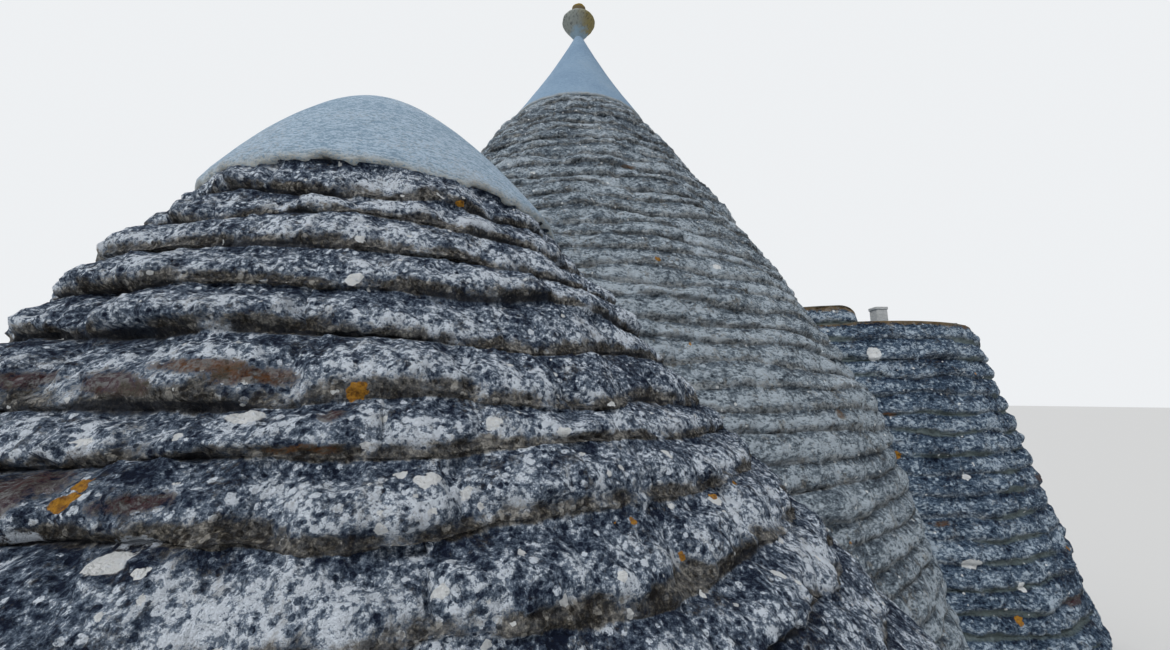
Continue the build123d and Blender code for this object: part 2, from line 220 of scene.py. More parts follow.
TALL_MARKS = (
    *marks(Growth.WHITE, (717, 267, 80, 50)),
    *marks(Growth.ORANGE, (658, 259, 70, 40)),
    *marks(Growth.RUST, (628, 167, 200, 60), (840, 413, 90, 80)),
    *marks(Growth.LIME, (827, 393, 120, 80)),
)
ANNEX_MARKS = (
    *marks(Growth.WHITE, (873, 354, 150, 150), (972, 564, 190, 90), (1022, 587, 90, 80), (966, 477, 90, 50)),
    *marks(Growth.ORANGE, (896, 455, 90, 80), (1067, 548, 75, 60), (1088, 586, 80, 50), (1019, 621, 80, 80)),
    *marks(Growth.RUST, (889, 414, 180, 50), (941, 524, 240, 70), (967, 327, 260, 70)),
    *marks(Growth.RUSSET, (1040, 478, 500, 100), (1075, 600, 500, 100)),
)


def radius_at(face: Sequence[Point], height: float) -> float:
    """Radius of an outer face at a height, along straight runs between its knots."""
    return float(np.interp(height, *zip(*face)))


def even_joints(low: float, high: float, course: float) -> list[float]:
    """Heights of course joints between two heights, both included, all courses alike."""
    count = max(1, round((high - low) / course))
    return [low + (high - low) * step / count for step in range(count + 1)]


def nodes_named(*starts: str) -> list[str]:
    """Names of the CAD nodes that begin with one of the given words."""
    return [name for name in frame["nodes"] if name.startswith(starts)]


def eased(values: np.ndarray, low: float, high: float) -> np.ndarray:
    """Smooth step from 0 to 1 as values go from low to high."""
    share = np.clip((values - low) / (high - low), 0.0, 1.0)
    return share * share * (3.0 - 2.0 * share)


def lumps(points: np.ndarray, size: float, seed: int) -> np.ndarray:
    """Smooth value noise.

    Args:
        points: n by 3 array of places.
        size: width of one lump in metres.
        seed: picks one of many patterns.

    Returns:
        n values from -1 to 1.
    """
    grid = points / size
    cell = np.floor(grid).astype(np.int64)
    share = eased(grid - cell, 0.0, 1.0)
    total = np.zeros(len(points))
    for corner in itertools.product((0, 1), repeat=3):
        key = np.bitwise_xor.reduce((cell + np.array(corner)) * CELL_PRIMES, axis=1) ^ seed * SEED_PRIME
        for shift, factor in STIRS:
            key = (key ^ key >> shift) * factor & BIT_MASK
        weight = np.prod(np.where(np.array(corner) == 1, share, 1.0 - share), axis=1)
        total += weight * (key % NOISE_LEVELS / (NOISE_LEVELS / 2.0) - 1.0)
    return total


def polar(points: np.ndarray, axis: Point) -> tuple[np.ndarray, np.ndarray, np.ndarray]:
    """Places about an upright axis: their offset from it, its length, and its bearing."""
    across = points[:, :2] - np.array(axis)
    return across, np.hypot(across[:, 0], across[:, 1]), np.arctan2(across[:, 1], across[:, 0])


def only(piece: Piece) -> None:
    """Deselect everything, then make one object selected and active."""
    bpy.ops.object.select_all(action="DESELECT")
    piece.select_set(True)
    bpy.context.view_layer.objects.active = piece


@contextmanager
def edited() -> Iterator[None]:
    """Edit the active mesh with everything in it selected, then go back to object mode."""
    bpy.ops.object.mode_set(mode="EDIT")
    bpy.ops.mesh.select_all(action="SELECT")
    yield
    bpy.ops.object.mode_set(mode="OBJECT")


def coordinates(piece: Piece) -> np.ndarray:
    """Read a mesh's vertices as an n by 3 array."""
    flat = np.empty(len(piece.data.vertices) * 3)
    piece.data.vertices.foreach_get("co", flat)
    return flat.reshape(-1, 3)


def set_coordinates(piece: Piece, points: np.ndarray) -> None:
    """Write an n by 3 array back to a mesh's vertices."""
    piece.data.vertices.foreach_set("co", points.ravel())
    piece.data.update()


def set_attribute(piece: Piece, name: str, values: np.ndarray) -> None:
    """Store one number a vertex under a name that the materials read."""
    piece.data.attributes.new(name, "FLOAT", "POINT")
    piece.data.attributes[name].data.foreach_set("value", values.astype(np.float32))


def outlined(name: str, points: np.ndarray, fill: str) -> Piece:
    """Closed outline through n by 3 places, filled as the circle primitive's fill types say."""
    bpy.ops.object.select_all(action="DESELECT")
    bpy.ops.mesh.primitive_circle_add(vertices=len(points), radius=1.0, fill_type=fill)
    piece = bpy.context.object
    piece.name = name
    set_coordinates(piece, points)
    return piece


def extruded(by: Sequence[float]) -> None:
    """Extrude the face in edit mode into a closed bar with its normals outwards."""
    bpy.ops.mesh.extrude_region_move(TRANSFORM_OT_translate={"value": by})
    bpy.ops.mesh.select_all(action="SELECT")
    bpy.ops.mesh.normals_make_consistent(inside=False)


def chimney_bar(name: str, width: float, low: float, high: float) -> Piece:
    """Square upright bar on the chimney's axis, between two heights."""
    bpy.ops.object.select_all(action="DESELECT")
    middle = (*CHIMNEY, (low + high) / 2.0)
    bpy.ops.mesh.primitive_cube_add(size=1.0, location=middle, scale=(width, width, high - low))
    piece = bpy.context.object
    piece.name = name
    bpy.ops.object.transform_apply(location=True, rotation=True, scale=True)
    return piece


def spun(
    name: str, section: Sequence[Point], axis: Point, steps: int, sweep: Optional[Point] = None
) -> Piece:
    """Spin a closed section round an upright axis.

    Args:
        name: name of the new object.
        section: (radius, height) corners in order round the section.
        axis: where the axis stands.
        steps: number of steps of the spin.
        sweep: bearings in degrees that it spins between, both ends closed; None for a ring.

    Returns:
        The closed mesh, its normals outwards.
    """
    bearing = math.radians(sweep[1]) if sweep else 0.0
    angle = math.radians(sweep[1] - sweep[0]) if sweep else math.tau
    outward = np.array([[math.cos(bearing), math.sin(bearing), 0.0]])
    feet = np.array([[axis[0], axis[1], height] for _, height in section])
    piece = outlined(name, feet + np.array([[radius] for radius, _ in section]) * outward, "NOTHING")
    with edited():
        if sweep:
            bpy.ops.mesh.edge_face_add()
            bpy.ops.mesh.select_all(action="SELECT")
        bpy.ops.mesh.spin(steps=steps, angle=angle, center=(axis[0], axis[1], 0.0), axis=(0, 0, 1))
        bpy.ops.mesh.select_all(action="SELECT")
        bpy.ops.mesh.remove_doubles(threshold=0.0001)
        bpy.ops.mesh.normals_make_consistent(inside=False)
    return piece


def roughen(piece: Piece, size: float, depth: float, group: str = "") -> None:
    """Push a mesh in and out along its normals with cloud noise.

    Args:
        piece: the mesh to roughen.
        size: width of one lump in metres.
        depth: distance between the highest and the lowest point.
        group: vertex group that is moved; all vertices if empty.
    """
    texture = bpy.data.textures.new(f"{piece.name}_clouds", "CLOUDS")
    texture.noise_scale = size
    texture.noise_depth = 2
    only(piece)
    bpy.ops.object.modifier_add(type="DISPLACE")
    modifier = piece.modifiers[-1]
    modifier.texture = texture
    modifier.texture_coords = "LOCAL"
    modifier.strength = depth
    modifier.mid_level = 0.5
    modifier.vertex_group = group
    bpy.ops.object.modifier_apply(modifier=modifier.name)
    bpy.data.textures.remove(texture)


def cut_away(piece: Piece, cutter: Piece) -> None:
    """Take a closed cutter out of a closed mesh and delete the cutter."""
    only(piece)
    bpy.ops.object.modifier_add(type="BOOLEAN")
    modifier = piece.modifiers[-1]
    modifier.operation = "DIFFERENCE"
    modifier.solver = "MANIFOLD"
    modifier.object = cutter
    bpy.ops.object.modifier_apply(modifier=modifier.name)
    bpy.data.objects.remove(cutter)


def halved(piece: Piece, place: Place, normal: Place) -> None:
    """Cut a closed mesh with a plane, drop the side the normal points to, and close it."""
    only(piece)
    with edited():
        bpy.ops.mesh.bisect(plane_co=place, plane_no=normal, use_fill=True, clear_outer=True)


def smooth(piece: Piece, degrees: float) -> None:
    """Shade smooth, with edges sharper than an angle kept."""
    only(piece)
    bpy.ops.object.shade_smooth_by_angle(angle=math.radians(degrees))


def keep_inside(piece: Piece) -> None:
    """Hold a mesh inside the box of the whole object and above the ground."""
    set_coordinates(piece, np.clip(coordinates(piece), *CAD_BOX))


def leaned(piece: Piece) -> None:
    """Lean a finished mesh of the low trullo to the west, about its eaves."""
    points = coordinates(piece)
    points[:, 0] -= LOW_LEAN * (points[:, 2] - LOW_EAVES)
    set_coordinates(piece, points)


def hand_over(piece: Piece, material: Material, nodes: Sequence[str]) -> None:
    """Give a finished piece its material, body, slot and the nodes it stands for.

    Args:
        piece: the finished mesh.
        material: finish of the piece.
        nodes: CAD nodes that the piece stands for.
    """
    piece.data.name = piece.name
    piece.data.materials.clear()
    piece.data.materials.append(material)
    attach(piece, "root")
    if nodes:
        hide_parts(*nodes)
    log.info("%s: %d triangles", piece.name, sum(len(face.vertices) - 2 for face in piece.data.polygons))


class Shader:
    """Adds and links the nodes of one material."""

    def __init__(self, name: str) -> None:
        """Start an empty node tree with an output and a principled shader."""
        self.material = bpy.data.materials.new(name)
        self.material.use_nodes = True
        self.tree = self.material.node_tree
        self.tree.nodes.clear()
        output = self.tree.nodes.new("ShaderNodeOutputMaterial")
        self.surface = self.tree.nodes.new("ShaderNodeBsdfPrincipled")
        self.tree.links.new(self.surface.outputs["BSDF"], output.inputs["Surface"])
        self.place = self.tree.nodes.new("ShaderNodeTexCoord").outputs["Object"]

    def feed(self, socket: Socket, value: object) -> None:
        """Link a socket to another socket, or set its value."""
        if isinstance(value, bpy.types.NodeSocket):
            self.tree.links.new(value, socket)
        elif socket.type == "RGBA":
            socket.default_value = (*value, 1.0)
        else:
            socket.default_value = value

    def add(self, kind: str, output: object, inputs: dict[object, object], **settings: object) -> Socket:
        """Add a node.

        Args:
            kind: type of the node, less the words that all types start with.
            output: name or number of the output that is wanted.
            inputs: what goes into each input, by the input's name or number.
            settings: properties of the node.

        Returns:
            The output.
        """
        node = self.tree.nodes.new(f"ShaderNode{kind}")
        for name, value in settings.items():
            setattr(node, name, value)
        for name, value in inputs.items():
            self.feed(node.inputs[name], value)
        return node.outputs[output]

    def mapped(self, scale: Place, move: Place, at: Optional[Socket] = None) -> Socket:
        """Object coordinates, or another place, scaled and then moved."""
        return self.add("Mapping", "Vector", {"Vector": at or self.place, "Scale": scale, "Location": move})

    def shifted(self, by: float, flatness: float = 1.0) -> Socket:
        """Object coordinates moved, for a pattern of its own, and squeezed upright."""
        return self.mapped((1.0, 1.0, flatness), (by, by * 0.7, by * 1.3))

    def noise(
        self, scale: float, detail: float = 4.0, rough: float = 0.55, flat: float = 1.0, shift: float = 0.0
    ) -> Socket:
        """Noise from 0 to 1, mostly near a half, its parts in the order of a Noise tuple."""
        inputs = {"Vector": self.shifted(shift, flat), "Scale": scale, "Detail": detail, "Roughness": rough}
        return self.add("TexNoise", "Fac", inputs)

    def math(self, kind: str, first: object, second: object) -> Socket:
        """One arithmetic step, such as ADD or MULTIPLY."""
        return self.add("Math", "Value", {0: first, 1: second}, operation=kind)

    def plus(self, first: object, second: object) -> Socket:
        """Sum of two numbers."""
        return self.math("ADD", first, second)

    def times(self, first: object, second: object) -> Socket:
        """Product of two numbers."""
        return self.math("MULTIPLY", first, second)

    def step(self, value: object, low: float, high: float) -> Socket:
        """Smooth step from 0 to 1 as a value goes from low to high."""
        inputs = {"Value": value, "From Min": low, "From Max": high}
        return self.add("MapRange", "Result", inputs, interpolation_type="SMOOTHSTEP")

    def mix(self, share: object, first: object, second: object) -> Socket:
        """Colour between two colours."""
        return self.add("Mix", 2, {0: share, 6: first, 7: second}, data_type="RGBA")

    def over(self, colour: object, tint: object, mask: object, strength: float) -> Socket:
        """Colour with a tint laid over it, as strongly as a mask and a strength say."""
        return self.mix(self.times(mask, strength), colour, tint)

    def ramp(self, value: Socket, *stops: tuple[float, Colour]) -> Socket:
        """Colour that passes through the given stops as a value rises."""
        node = self.tree.nodes.new("ShaderNodeValToRGB")
        self.feed(node.inputs["Fac"], value)
        elements = node.color_ramp.elements
        for element, (position, colour) in zip(elements, (stops[0], stops[-1])):
            element.position = position
            element.color = (*colour, 1.0)
        for position, colour in stops[1:-1]:
            elements.new(position).color = (*colour, 1.0)
        return node.outputs["Color"]

    def spread(self, *parts: tuple[Socket, float]) -> Socket:
        """Sum of noises about a half, each widened by its own factor."""
        total: object = 0.5 - sum(0.5 * factor for _, factor in parts)
        for noise, factor in parts:
            total = self.plus(total, self.times(noise, factor))
        return total

    def part(self, vector: Socket, axis: str) -> Socket:
        """The X, Y or Z part of a vector or colour."""
        return self.add("SeparateXYZ", axis, {"Vector": vector})

    def wobbled(self, scale: float, amount: float, move: float = 0.0) -> Socket:
        """Object coordinates, wobbled by noise so that the edges of spots are uneven.

        Args:
            scale: fineness of the noise.
            amount: full width of the wobble in metres.
            move: shift of the pattern; 0 leaves things where they are.

        Returns:
            The wobbled place.
        """
        noise = self.add("TexNoise", "Color", {"Vector": self.place, "Scale": scale, "Detail": 2.0})
        half = (-amount / 2.0,) * 3
        start = self.shifted(move - amount / 2.0) if move else self.mapped((1.0, 1.0, 1.0), half)
        return self.add("VectorMath", 0, {0: noise, 1: (amount,) * 3, 2: start}, operation="MULTIPLY_ADD")

    def spots(self, scale: float, largest: float, share: float, move: float) -> Socket:
        """Mask of round spots with uneven edges, its parts in the order of a Spots tuple.

        Args:
            scale: cells to a metre.
            largest: radius of the largest spot, as a share of a cell.
            share: part of the cells that hold a spot.
            move: shift of the pattern.

        Returns:
            1 in the spots and 0 outside.
        """
        node = self.tree.nodes.new("ShaderNodeTexVoronoi")
        self.feed(node.inputs["Vector"], self.wobbled(scale * SPOT_WOBBLE, SPOT_RAGGED / scale, move))
        self.feed(node.inputs["Scale"], scale)
        chance = self.part(node.outputs["Color"], "X")
        size = self.times(self.step(chance, 1.0 - share, 1.0), largest)
        return self.step(self.math("SUBTRACT", size, node.outputs["Distance"]), 0.0, SPOT_BLUR)

    def beyond(self, at: Socket, place: Place, width: float, height: float) -> Socket:
        """How far a point is from the middle of an upright egg shape.

        Args:
            at: the point.
            place: middle of the shape.
            width: its full width and depth.
            height: its full height.

        Returns:
            0 in the middle and 1 at the skin.
        """
        scale = (2.0 / width, 2.0 / width, 2.0 / height)
        inside = self.mapped(scale, tuple(-p * q for p, q in zip(place, scale)), at)
        return self.add("VectorMath", "Value", {0: inside}, operation="LENGTH")

    def named(self, attribute: str) -> Socket:
        """A number stored on the mesh."""
        return self.add("Attribute", "Fac", {}, attribute_name=attribute)

    def bump(self, height: Socket, distance: float, under: Optional[Socket] = None) -> Socket:
        """Normal bent by a height, over an earlier bend if there is one."""
        inputs = {"Strength": 1.0, "Distance": distance, "Height": height}
        return self.add("Bump", "Normal", inputs | ({"Normal": under} if under else {}))

    def finish(self, colour: object, roughness: float, normal: Optional[Socket] = None) -> Material:
        """Connect the shader and return the material."""
        inputs = {"Base Color": colour, "Roughness": roughness, "Specular IOR Level": SHEEN}
        for name, value in (inputs | ({"Normal": normal} if normal else {})).items():
            self.feed(self.surface.inputs[name], value)
        return self.material


@dataclass(frozen=True)
class LichenStone:
    """Old limestone in rolls: blue-black and white lichen above, brown and beige below, the blue partly
    painted shade under a blue sky and the brown partly painted shade under each roll.

    An edge is the pair of values that a smooth step runs between.
    """

    name: str = "lichen_limestone"
    black: Colour = (0.006, 0.012, 0.032)
    slate: Colour = (0.036, 0.054, 0.090)
    mid: Colour = (0.105, 0.142, 0.198)
    grey: Colour = (0.250, 0.308, 0.390)
    frost: Colour = (0.820, 0.890, 0.980)
    umber: Colour = (0.026, 0.021, 0.015)
    earth: Colour = (0.092, 0.080, 0.060)
    sand: Colour = (0.340, 0.315, 0.265)
    # joint: dark colour painted into the joints between rolls, as painted shade in the recesses
    joint: Colour = (0.016, 0.020, 0.030)
    white: Colour = (0.930, 0.950, 0.950)
    orange: Colour = (0.560, 0.270, 0.030)
    rust: Colour = (0.170, 0.066, 0.012)
    russet: Colour = (0.085, 0.030, 0.028)
    ochre: Colour = (0.230, 0.150, 0.055)
    limewash: Colour = (0.620, 0.600, 0.550)
    limewash_shade: Colour = (0.430, 0.420, 0.390)
    speck: float = 52.0
    blotch: float = 12.0
    flatness: float = 1.0
    contrast: float = 1.0
    lightness: float = 0.115
    tone_widths: Place = (3.0, 1.8, 1.3)
    tone_levels: tuple[float, ...] = (0.13, 0.24, 0.36, 0.44, 0.53, 0.62, 0.72, 0.84)
    earth_levels: tuple[float, ...] = (0.16, 0.34, 0.50, 0.66, 0.92)
    tint: float = 0.10
    # painted shade, partly damp: the back of each course, under the overhang of the next, is painted darker
    # by this much
    overhang_shade_and_damp: float = 0.24
    flaking: float = 0.38
    pitting: float = 0.30
    earth_flaking: float = 0.34
    earth_pitting: float = 0.22
    brownness: float = 0.88
    warmth: float = 0.40
    crust: float = 0.75
    # painted shade: the stone is painted darker towards the top, between the two heights below, as the
    # backlit top lay in shade
    painted_top_shade: float = 0.0
    painted_top_shade_edge: Point = (3.4, 6.2)
    joint_and_recess_shade: float = 0.8
    cloud: Noise = (2.4, 4.0, 0.60, 1.0, 1.0)
    # noise for the brown underside of each roll, which is partly real staining and partly painted shade
    underside_damp_and_shade: Noise = (6.0, 5.0, 0.65, 1.0, 2.0)
    drought: Noise = (9.0, 5.0, 0.72, 1.0, 12.0)
    patches: Spots = (5.0, 0.13, 0.22, 5.0)
    dots: Spots = (19.0, 0.26, 0.16, 2.0)
    orange_dots: Spots = (3.1, 0.07, 0.14, 9.5)
    underside_damp_and_shade_edge: Point = (0.92, 1.45)
    drought_edge: Point = (0.62, 1.05)
    crust_edge: Point = (0.95, 1.35)
    joint_and_recess_shade_edge: Point = (0.45, 0.95)
    limewash_edge: Point = (0.45, 0.70)
    rosette_wobble: Point = (42.0, 0.034)
    stain_wobble: Point = (12.0, 0.050)
    bumps: Place = (0.010, 0.020, 0.046)
    roughness: float = 0.93

    def material(self, found: Sequence[tuple[Place, Mark]] = ()) -> Material:
        """Build the node material.

        Args:
            found: rosettes and stains with the places that they sit at.

        Returns:
            The material.
        """
        s = Shader(self.name)
        fine = s.noise(self.speck, detail=5.0, rough=0.80, flat=self.flatness)
        blotch = s.noise(self.blotch, detail=5.0, rough=0.65, flat=self.flatness, shift=4.0)
        grain = s.noise(self.speck * 1.4, detail=5.0, rough=0.70, shift=9.0)
        cloud = s.noise(*self.cloud)
        pits = s.spots(self.speck * 0.9, largest=0.44, share=0.70, move=6.0)
        flakes = s.spots(self.speck * 0.62, largest=0.42, share=0.60, move=3.0)
        widths = (width * self.contrast for width in self.tone_widths)
        tone = s.spread(*zip((fine, blotch, cloud), widths))
        # painted shade: mask that darkens the stone towards the top
        high = s.step(s.part(s.place, "Z"), *self.painted_top_shade_edge)
        for share, weight in (
            (s.named("tint"), self.tint),
            # painted shade, partly damp: darker on the back of each course under the next
            (s.named("tread"), -self.overhang_shade_and_damp),
            (high, -self.painted_top_shade),
            (flakes, self.flaking * self.contrast),
            (pits, -self.pitting * self.contrast),
        ):
            tone = s.plus(tone, s.times(share, weight))
        slate, mid, grey = self.slate, self.mid, self.grey
        shades = (self.black, slate, slate, mid, mid, grey, grey, self.frost)
        colour = s.ramp(s.plus(tone, self.lightness), *zip(self.tone_levels, shades))
        earthy = s.plus(s.spread((grain, 3.2), (blotch, 1.4)), s.times(flakes, self.earth_flaking))
        earthy = s.plus(earthy, s.times(pits, -self.earth_pitting))
        shades = (self.umber, self.umber, self.earth, self.earth, self.sand)
        earth = s.ramp(earthy, *zip(self.earth_levels, shades))
        # brown underside of each roll: partly real staining, partly painted shade under the roll
        underside_damp_and_shade = s.plus(s.named("riser"), s.spread((s.noise(*self.underside_damp_and_shade), 3.0), (fine, 1.6)))
        drought = s.spread((s.noise(*self.drought), 3.0), (grain, 1.4))
        crust = s.plus(s.named("crown"), s.spread((blotch, 2.0), (cloud, 1.5)))
        # painted shade: the joints between rolls are painted dark
        crease = s.plus(s.named("recess"), s.times(s.plus(fine, -0.5), 1.4))
        for tint, mask, strength in (
            (earth, s.step(underside_damp_and_shade, *self.underside_damp_and_shade_edge), self.brownness),
            (earth, s.step(drought, *self.drought_edge), self.warmth),
            (self.ochre, s.step(crust, *self.crust_edge), self.crust),
            (self.joint, s.step(crease, *self.joint_and_recess_shade_edge), self.joint_and_recess_shade),
            (self.white, s.spots(*self.patches), 0.9),
            (self.white, s.spots(*self.dots), 0.85),
            (self.orange, s.spots(*self.orange_dots), 0.9),
        ):
            colour = s.over(colour, tint, mask, strength)
        colour = self.marked(s, colour, blotch, fine, found)
        limewash = s.mix(s.step(blotch, *self.limewash_edge), self.limewash, self.limewash_shade)
        colour = s.mix(s.named("inside"), colour, limewash)
        normal = None
        for height, distance in zip((grain, fine, blotch), self.bumps):
            normal = s.bump(height, distance, normal)
        return s.finish(colour, self.roughness, normal)

    def marked(
        self, s: Shader, colour: Socket, blotch: Socket, fine: Socket, found: Sequence[tuple[Place, Mark]]
    ) -> Socket:
        """Lay rosettes and stains over the colour of the stone.

        Args:
            s: shader of the material.
            colour: colour of the stone.
            blotch: coarse noise.
            fine: fine noise.
            found: rosettes and stains with their places.

        Returns:
            The colour with the marks on it.
        """
        edge = s.wobbled(*self.rosette_wobble)
        drift = s.wobbled(*self.stain_wobble)
        breaks = s.spread((blotch, 2.4), (fine, 3.0))
        mottled = {
            growth: s.mix(s.step(fine, low, high), tint, under)
            for growth, tint, under, low, high in (
                (Growth.WHITE, self.white, self.frost, 0.50, 0.75),
                (Growth.ORANGE, self.orange, self.rust, 0.42, 0.66),
                (Growth.RUST, self.rust, self.earth, 0.40, 0.62),
                (Growth.RUSSET, self.russet, self.earth, 0.40, 0.62),
                (Growth.LIME, self.frost, self.grey, 0.50, 0.70),
            )
        }
        for place, mark in found:
            stain = mark.growth in (Growth.RUST, Growth.RUSSET, Growth.LIME)
            far = s.beyond(drift if stain else edge, place, mark.width, mark.height)
            inside = s.math("SUBTRACT", 1.0, far)
            if stain:
                inside = s.plus(inside, s.times(s.plus(breaks, -0.5), 0.8))
            share = s.step(inside, 0.10, 0.45) if stain else s.step(inside, 0.0, 0.12)
            colour = s.over(colour, mottled[mark.growth], share, 0.8 if stain else 0.95)
        return colour


@dataclass(frozen=True)
class LimePlaster:
    """Lime plaster brushed on by hand round the cap, with faint stains, its white painted darker and bluer as
    shade under a blue sky.
    """

    name: str = "lime_plaster"
    # painted shade: the plaster is white, and both of these colours are that white darkened and blued as
    # shade under a blue sky; noise mixes them as random tone
    white: Colour = (0.470, 0.590, 0.710)
    shade: Colour = (0.220, 0.325, 0.430)
    stain: Colour = (0.300, 0.270, 0.230)
    hem: Colour = (0.560, 0.530, 0.440)
    marking: float = 1.0
    brush: Noise = (22.0, 5.0, 0.70, 3.2, 0.0)
    grain: Noise = (70.0, 4.0, 0.70, 1.8, 3.0)
    cloud: Noise = (1.7, 4.0, 0.55, 1.0, 0.0)
    dirt: Noise = (48.0, 4.0, 0.75, 1.0, 8.0)

    def material(self) -> Material:
        """Build the node material."""
        s = Shader(self.name)
        strokes = s.noise(*self.brush)
        grain = s.noise(*self.grain)
        cloud = s.noise(*self.cloud)
        tone = s.spread((strokes, 2.6 * self.marking), (grain, 2.4 * self.marking), (cloud, 0.8))
        colour = s.mix(s.step(tone, 0.18, 0.80), self.shade, self.white)
        dirt = s.spread((s.noise(*self.dirt), 3.0), (cloud, 2.0))
        colour = s.over(colour, self.stain, s.step(dirt, 0.66, 1.0), 0.32 * self.marking)
        colour = s.over(colour, self.hem, s.times(s.named("hem"), s.step(grain, 0.35, 0.55)), 0.7)
        return s.finish(colour, 0.85, s.bump(strokes, 0.016, s.bump(grain, 0.004)))


@dataclass(frozen=True)
class CarvedStone:
    """Carved limestone of the pinnacle, greened by lichen, plaster run up its foot."""

    name: str = "pinnacle_limestone"
    grey: Colour = (0.270, 0.295, 0.275)
    pale: Colour = (0.360, 0.350, 0.300)
    olive: Colour = (0.260, 0.215, 0.090)
    ochre: Colour = (0.270, 0.185, 0.030)
    umber: Colour = (0.125, 0.098, 0.055)
    black: Colour = (0.040, 0.042, 0.042)
    # painted shade: the white plaster run up the ball's foot, painted dark blue as it lies in shade
    plaster: Colour = (0.240, 0.345, 0.430)
    plaster_edge: Point = (-8.38, -8.32)
    umber_edge: Point = (8.50, 8.55)
    ochre_edge: Point = (8.65, 8.70)
    olive_edge: Point = (0.05, 0.28)
    streaks: Noise = (34.0, 5.0, 0.65, 0.25, 0.0)
    specks: Noise = (60.0, 4.0, 0.70, 1.0, 6.0)

    def material(self) -> Material:
        """Build the node material."""
        s = Shader(self.name)
        height = s.part(s.place, "Z")
        east = s.plus(s.part(s.place, "X"), s.times(s.noise(9.0), 0.2))
        streaks = s.noise(*self.streaks)
        specks = s.noise(*self.specks)
        ragged = s.plus(height, s.times(s.noise(16.0), 0.06))
        foot = s.plus(height, s.times(s.noise(9.0, 3.0, 0.5, shift=3.0), 0.24))
        colour = self.grey
        for tint, mask, strength in (
            (self.olive, s.step(east, *self.olive_edge), 1.0),
            (self.black, s.step(streaks, 0.50, 0.64), 0.55),
            (self.pale, s.step(specks, 0.52, 0.66), 0.35),
            (self.umber, s.step(ragged, *self.umber_edge), 1.0),
            (self.ochre, s.step(ragged, *self.ochre_edge), 1.0),
            (self.plaster, s.step(s.times(foot, -1.0), *self.plaster_edge), 0.85),
        ):
            colour = s.over(colour, tint, mask, strength)
        return s.finish(colour, 0.9, s.bump(streaks, 0.010, s.bump(specks, 0.005)))


@dataclass(frozen=True)
class DressedStone:
    """Squared limestone round the doorway, paler than the walls."""

    name: str = "dressed_limestone"
    pale: Colour = (0.430, 0.405, 0.345)
    dark: Colour = (0.200, 0.195, 0.175)

    def material(self) -> Material:
        """Build the node material."""
        s = Shader(self.name)
        cloud = s.noise(5.0, 5.0, 0.6)
        specks = s.noise(60.0, 5.0, 0.7)
        colour = s.mix(s.step(cloud, 0.40, 0.65), self.pale, self.dark)
        colour = s.over(colour, self.dark, s.step(specks, 0.54, 0.66), 0.6)
        return s.finish(colour, 0.88, s.bump(specks, 0.003, s.bump(cloud, 0.01)))


@dataclass(frozen=True)
class Paving:
    """Worn limestone slabs."""

    name: str = "limestone_paving"
    pale: Colour = (0.400, 0.380, 0.330)
    dark: Colour = (0.220, 0.210, 0.190)
    joint: Colour = (0.080, 0.075, 0.065)
    slab_length: float = 0.62
    slab_width: float = 0.41
    gap: float = 0.008

    def material(self) -> Material:
        """Build the node material."""
        s = Shader(self.name)
        inputs = {
            "Vector": s.shifted(0.13),
            "Scale": 1.0,
            "Brick Width": self.slab_length,
            "Row Height": self.slab_width,
            "Mortar Size": self.gap,
            "Color1": self.pale,
            "Color2": self.dark,
            "Mortar": self.joint,
        }
        slabs = s.add("TexBrick", "Color", inputs)
        colour = s.over(slabs, self.dark, s.step(s.noise(4.0, 6.0, 0.65), 0.4, 0.7), 0.4)
        return s.finish(colour, 0.8, s.bump(s.noise(50.0, 5.0, 0.65), 0.003))


@dataclass(frozen=True)
class Roll:
    """Shape of one course of stone, as rows up its face.

    Each row is a share of the course's height, a share of the way back to the next
    course, and how far it stands behind the outermost line as a share of the depth.
    """

    depth: float
    rows: tuple[Place, ...]

    def edge(self, face: Sequence[Point], joints: Sequence[float], crest: float = 0.0) -> list[Point]:
        """Outer edge of a stack of courses.

        Args:
            face: knots of the mass's outer face.
            joints: heights of the course joints from the bottom up.
            crest: radius that the top course runs up to under a cap; 0 for a joint.

        Returns:
            (radius, height) points from the bottom up.
        """
        points = []
        for low, high in zip(joints, joints[1:]):
            outer = radius_at(face, low)
            under_cap = crest > 0.0 and high == joints[-1]
            tread = outer - (crest if under_cap else radius_at(face, high))
            for share, along, back in self.rows:
                if under_cap and share > 0.5:
                    back = 0.0
                    along = along + (share - along) * 0.5
                points.append((outer - along * tread - back * self.depth, low + (high - low) * share))
        points.append((crest or radius_at(face, joints[-1]) - self.depth, joints[-1]))
        return points


STEPPED = Roll(
    depth=0.046,
    rows=(
        (0.00, 0.00, 1.00), (0.04, 0.02, 0.80), (0.09, 0.05, 0.56), (0.16, 0.10, 0.33),
        (0.25, 0.17, 0.15), (0.35, 0.26, 0.05), (0.45, 0.36, 0.01), (0.55, 0.47, 0.02),
        (0.65, 0.59, 0.09), (0.75, 0.71, 0.22), (0.85, 0.83, 0.45), (0.94, 0.93, 0.75),
    ),
)
GENTLE = Roll(
    depth=0.030,
    rows=(
        (0.00, 0.00, 1.00), (0.07, 0.05, 0.62), (0.16, 0.13, 0.28), (0.28, 0.25, 0.08), (0.42, 0.40, 0.02),
        (0.56, 0.55, 0.05), (0.70, 0.69, 0.18), (0.82, 0.81, 0.42), (0.93, 0.93, 0.76),
    ),
)
SHELVED = Roll(
    depth=0.050,
    rows=(
        (0.00, 0.00, 1.00), (0.05, 0.03, 0.66), (0.11, 0.07, 0.34), (0.20, 0.14, 0.12), (0.31, 0.25, 0.04),
        (0.43, 0.38, 0.07), (0.56, 0.53, 0.16), (0.69, 0.68, 0.31), (0.81, 0.81, 0.50), (0.92, 0.92, 0.76),
    ),
)


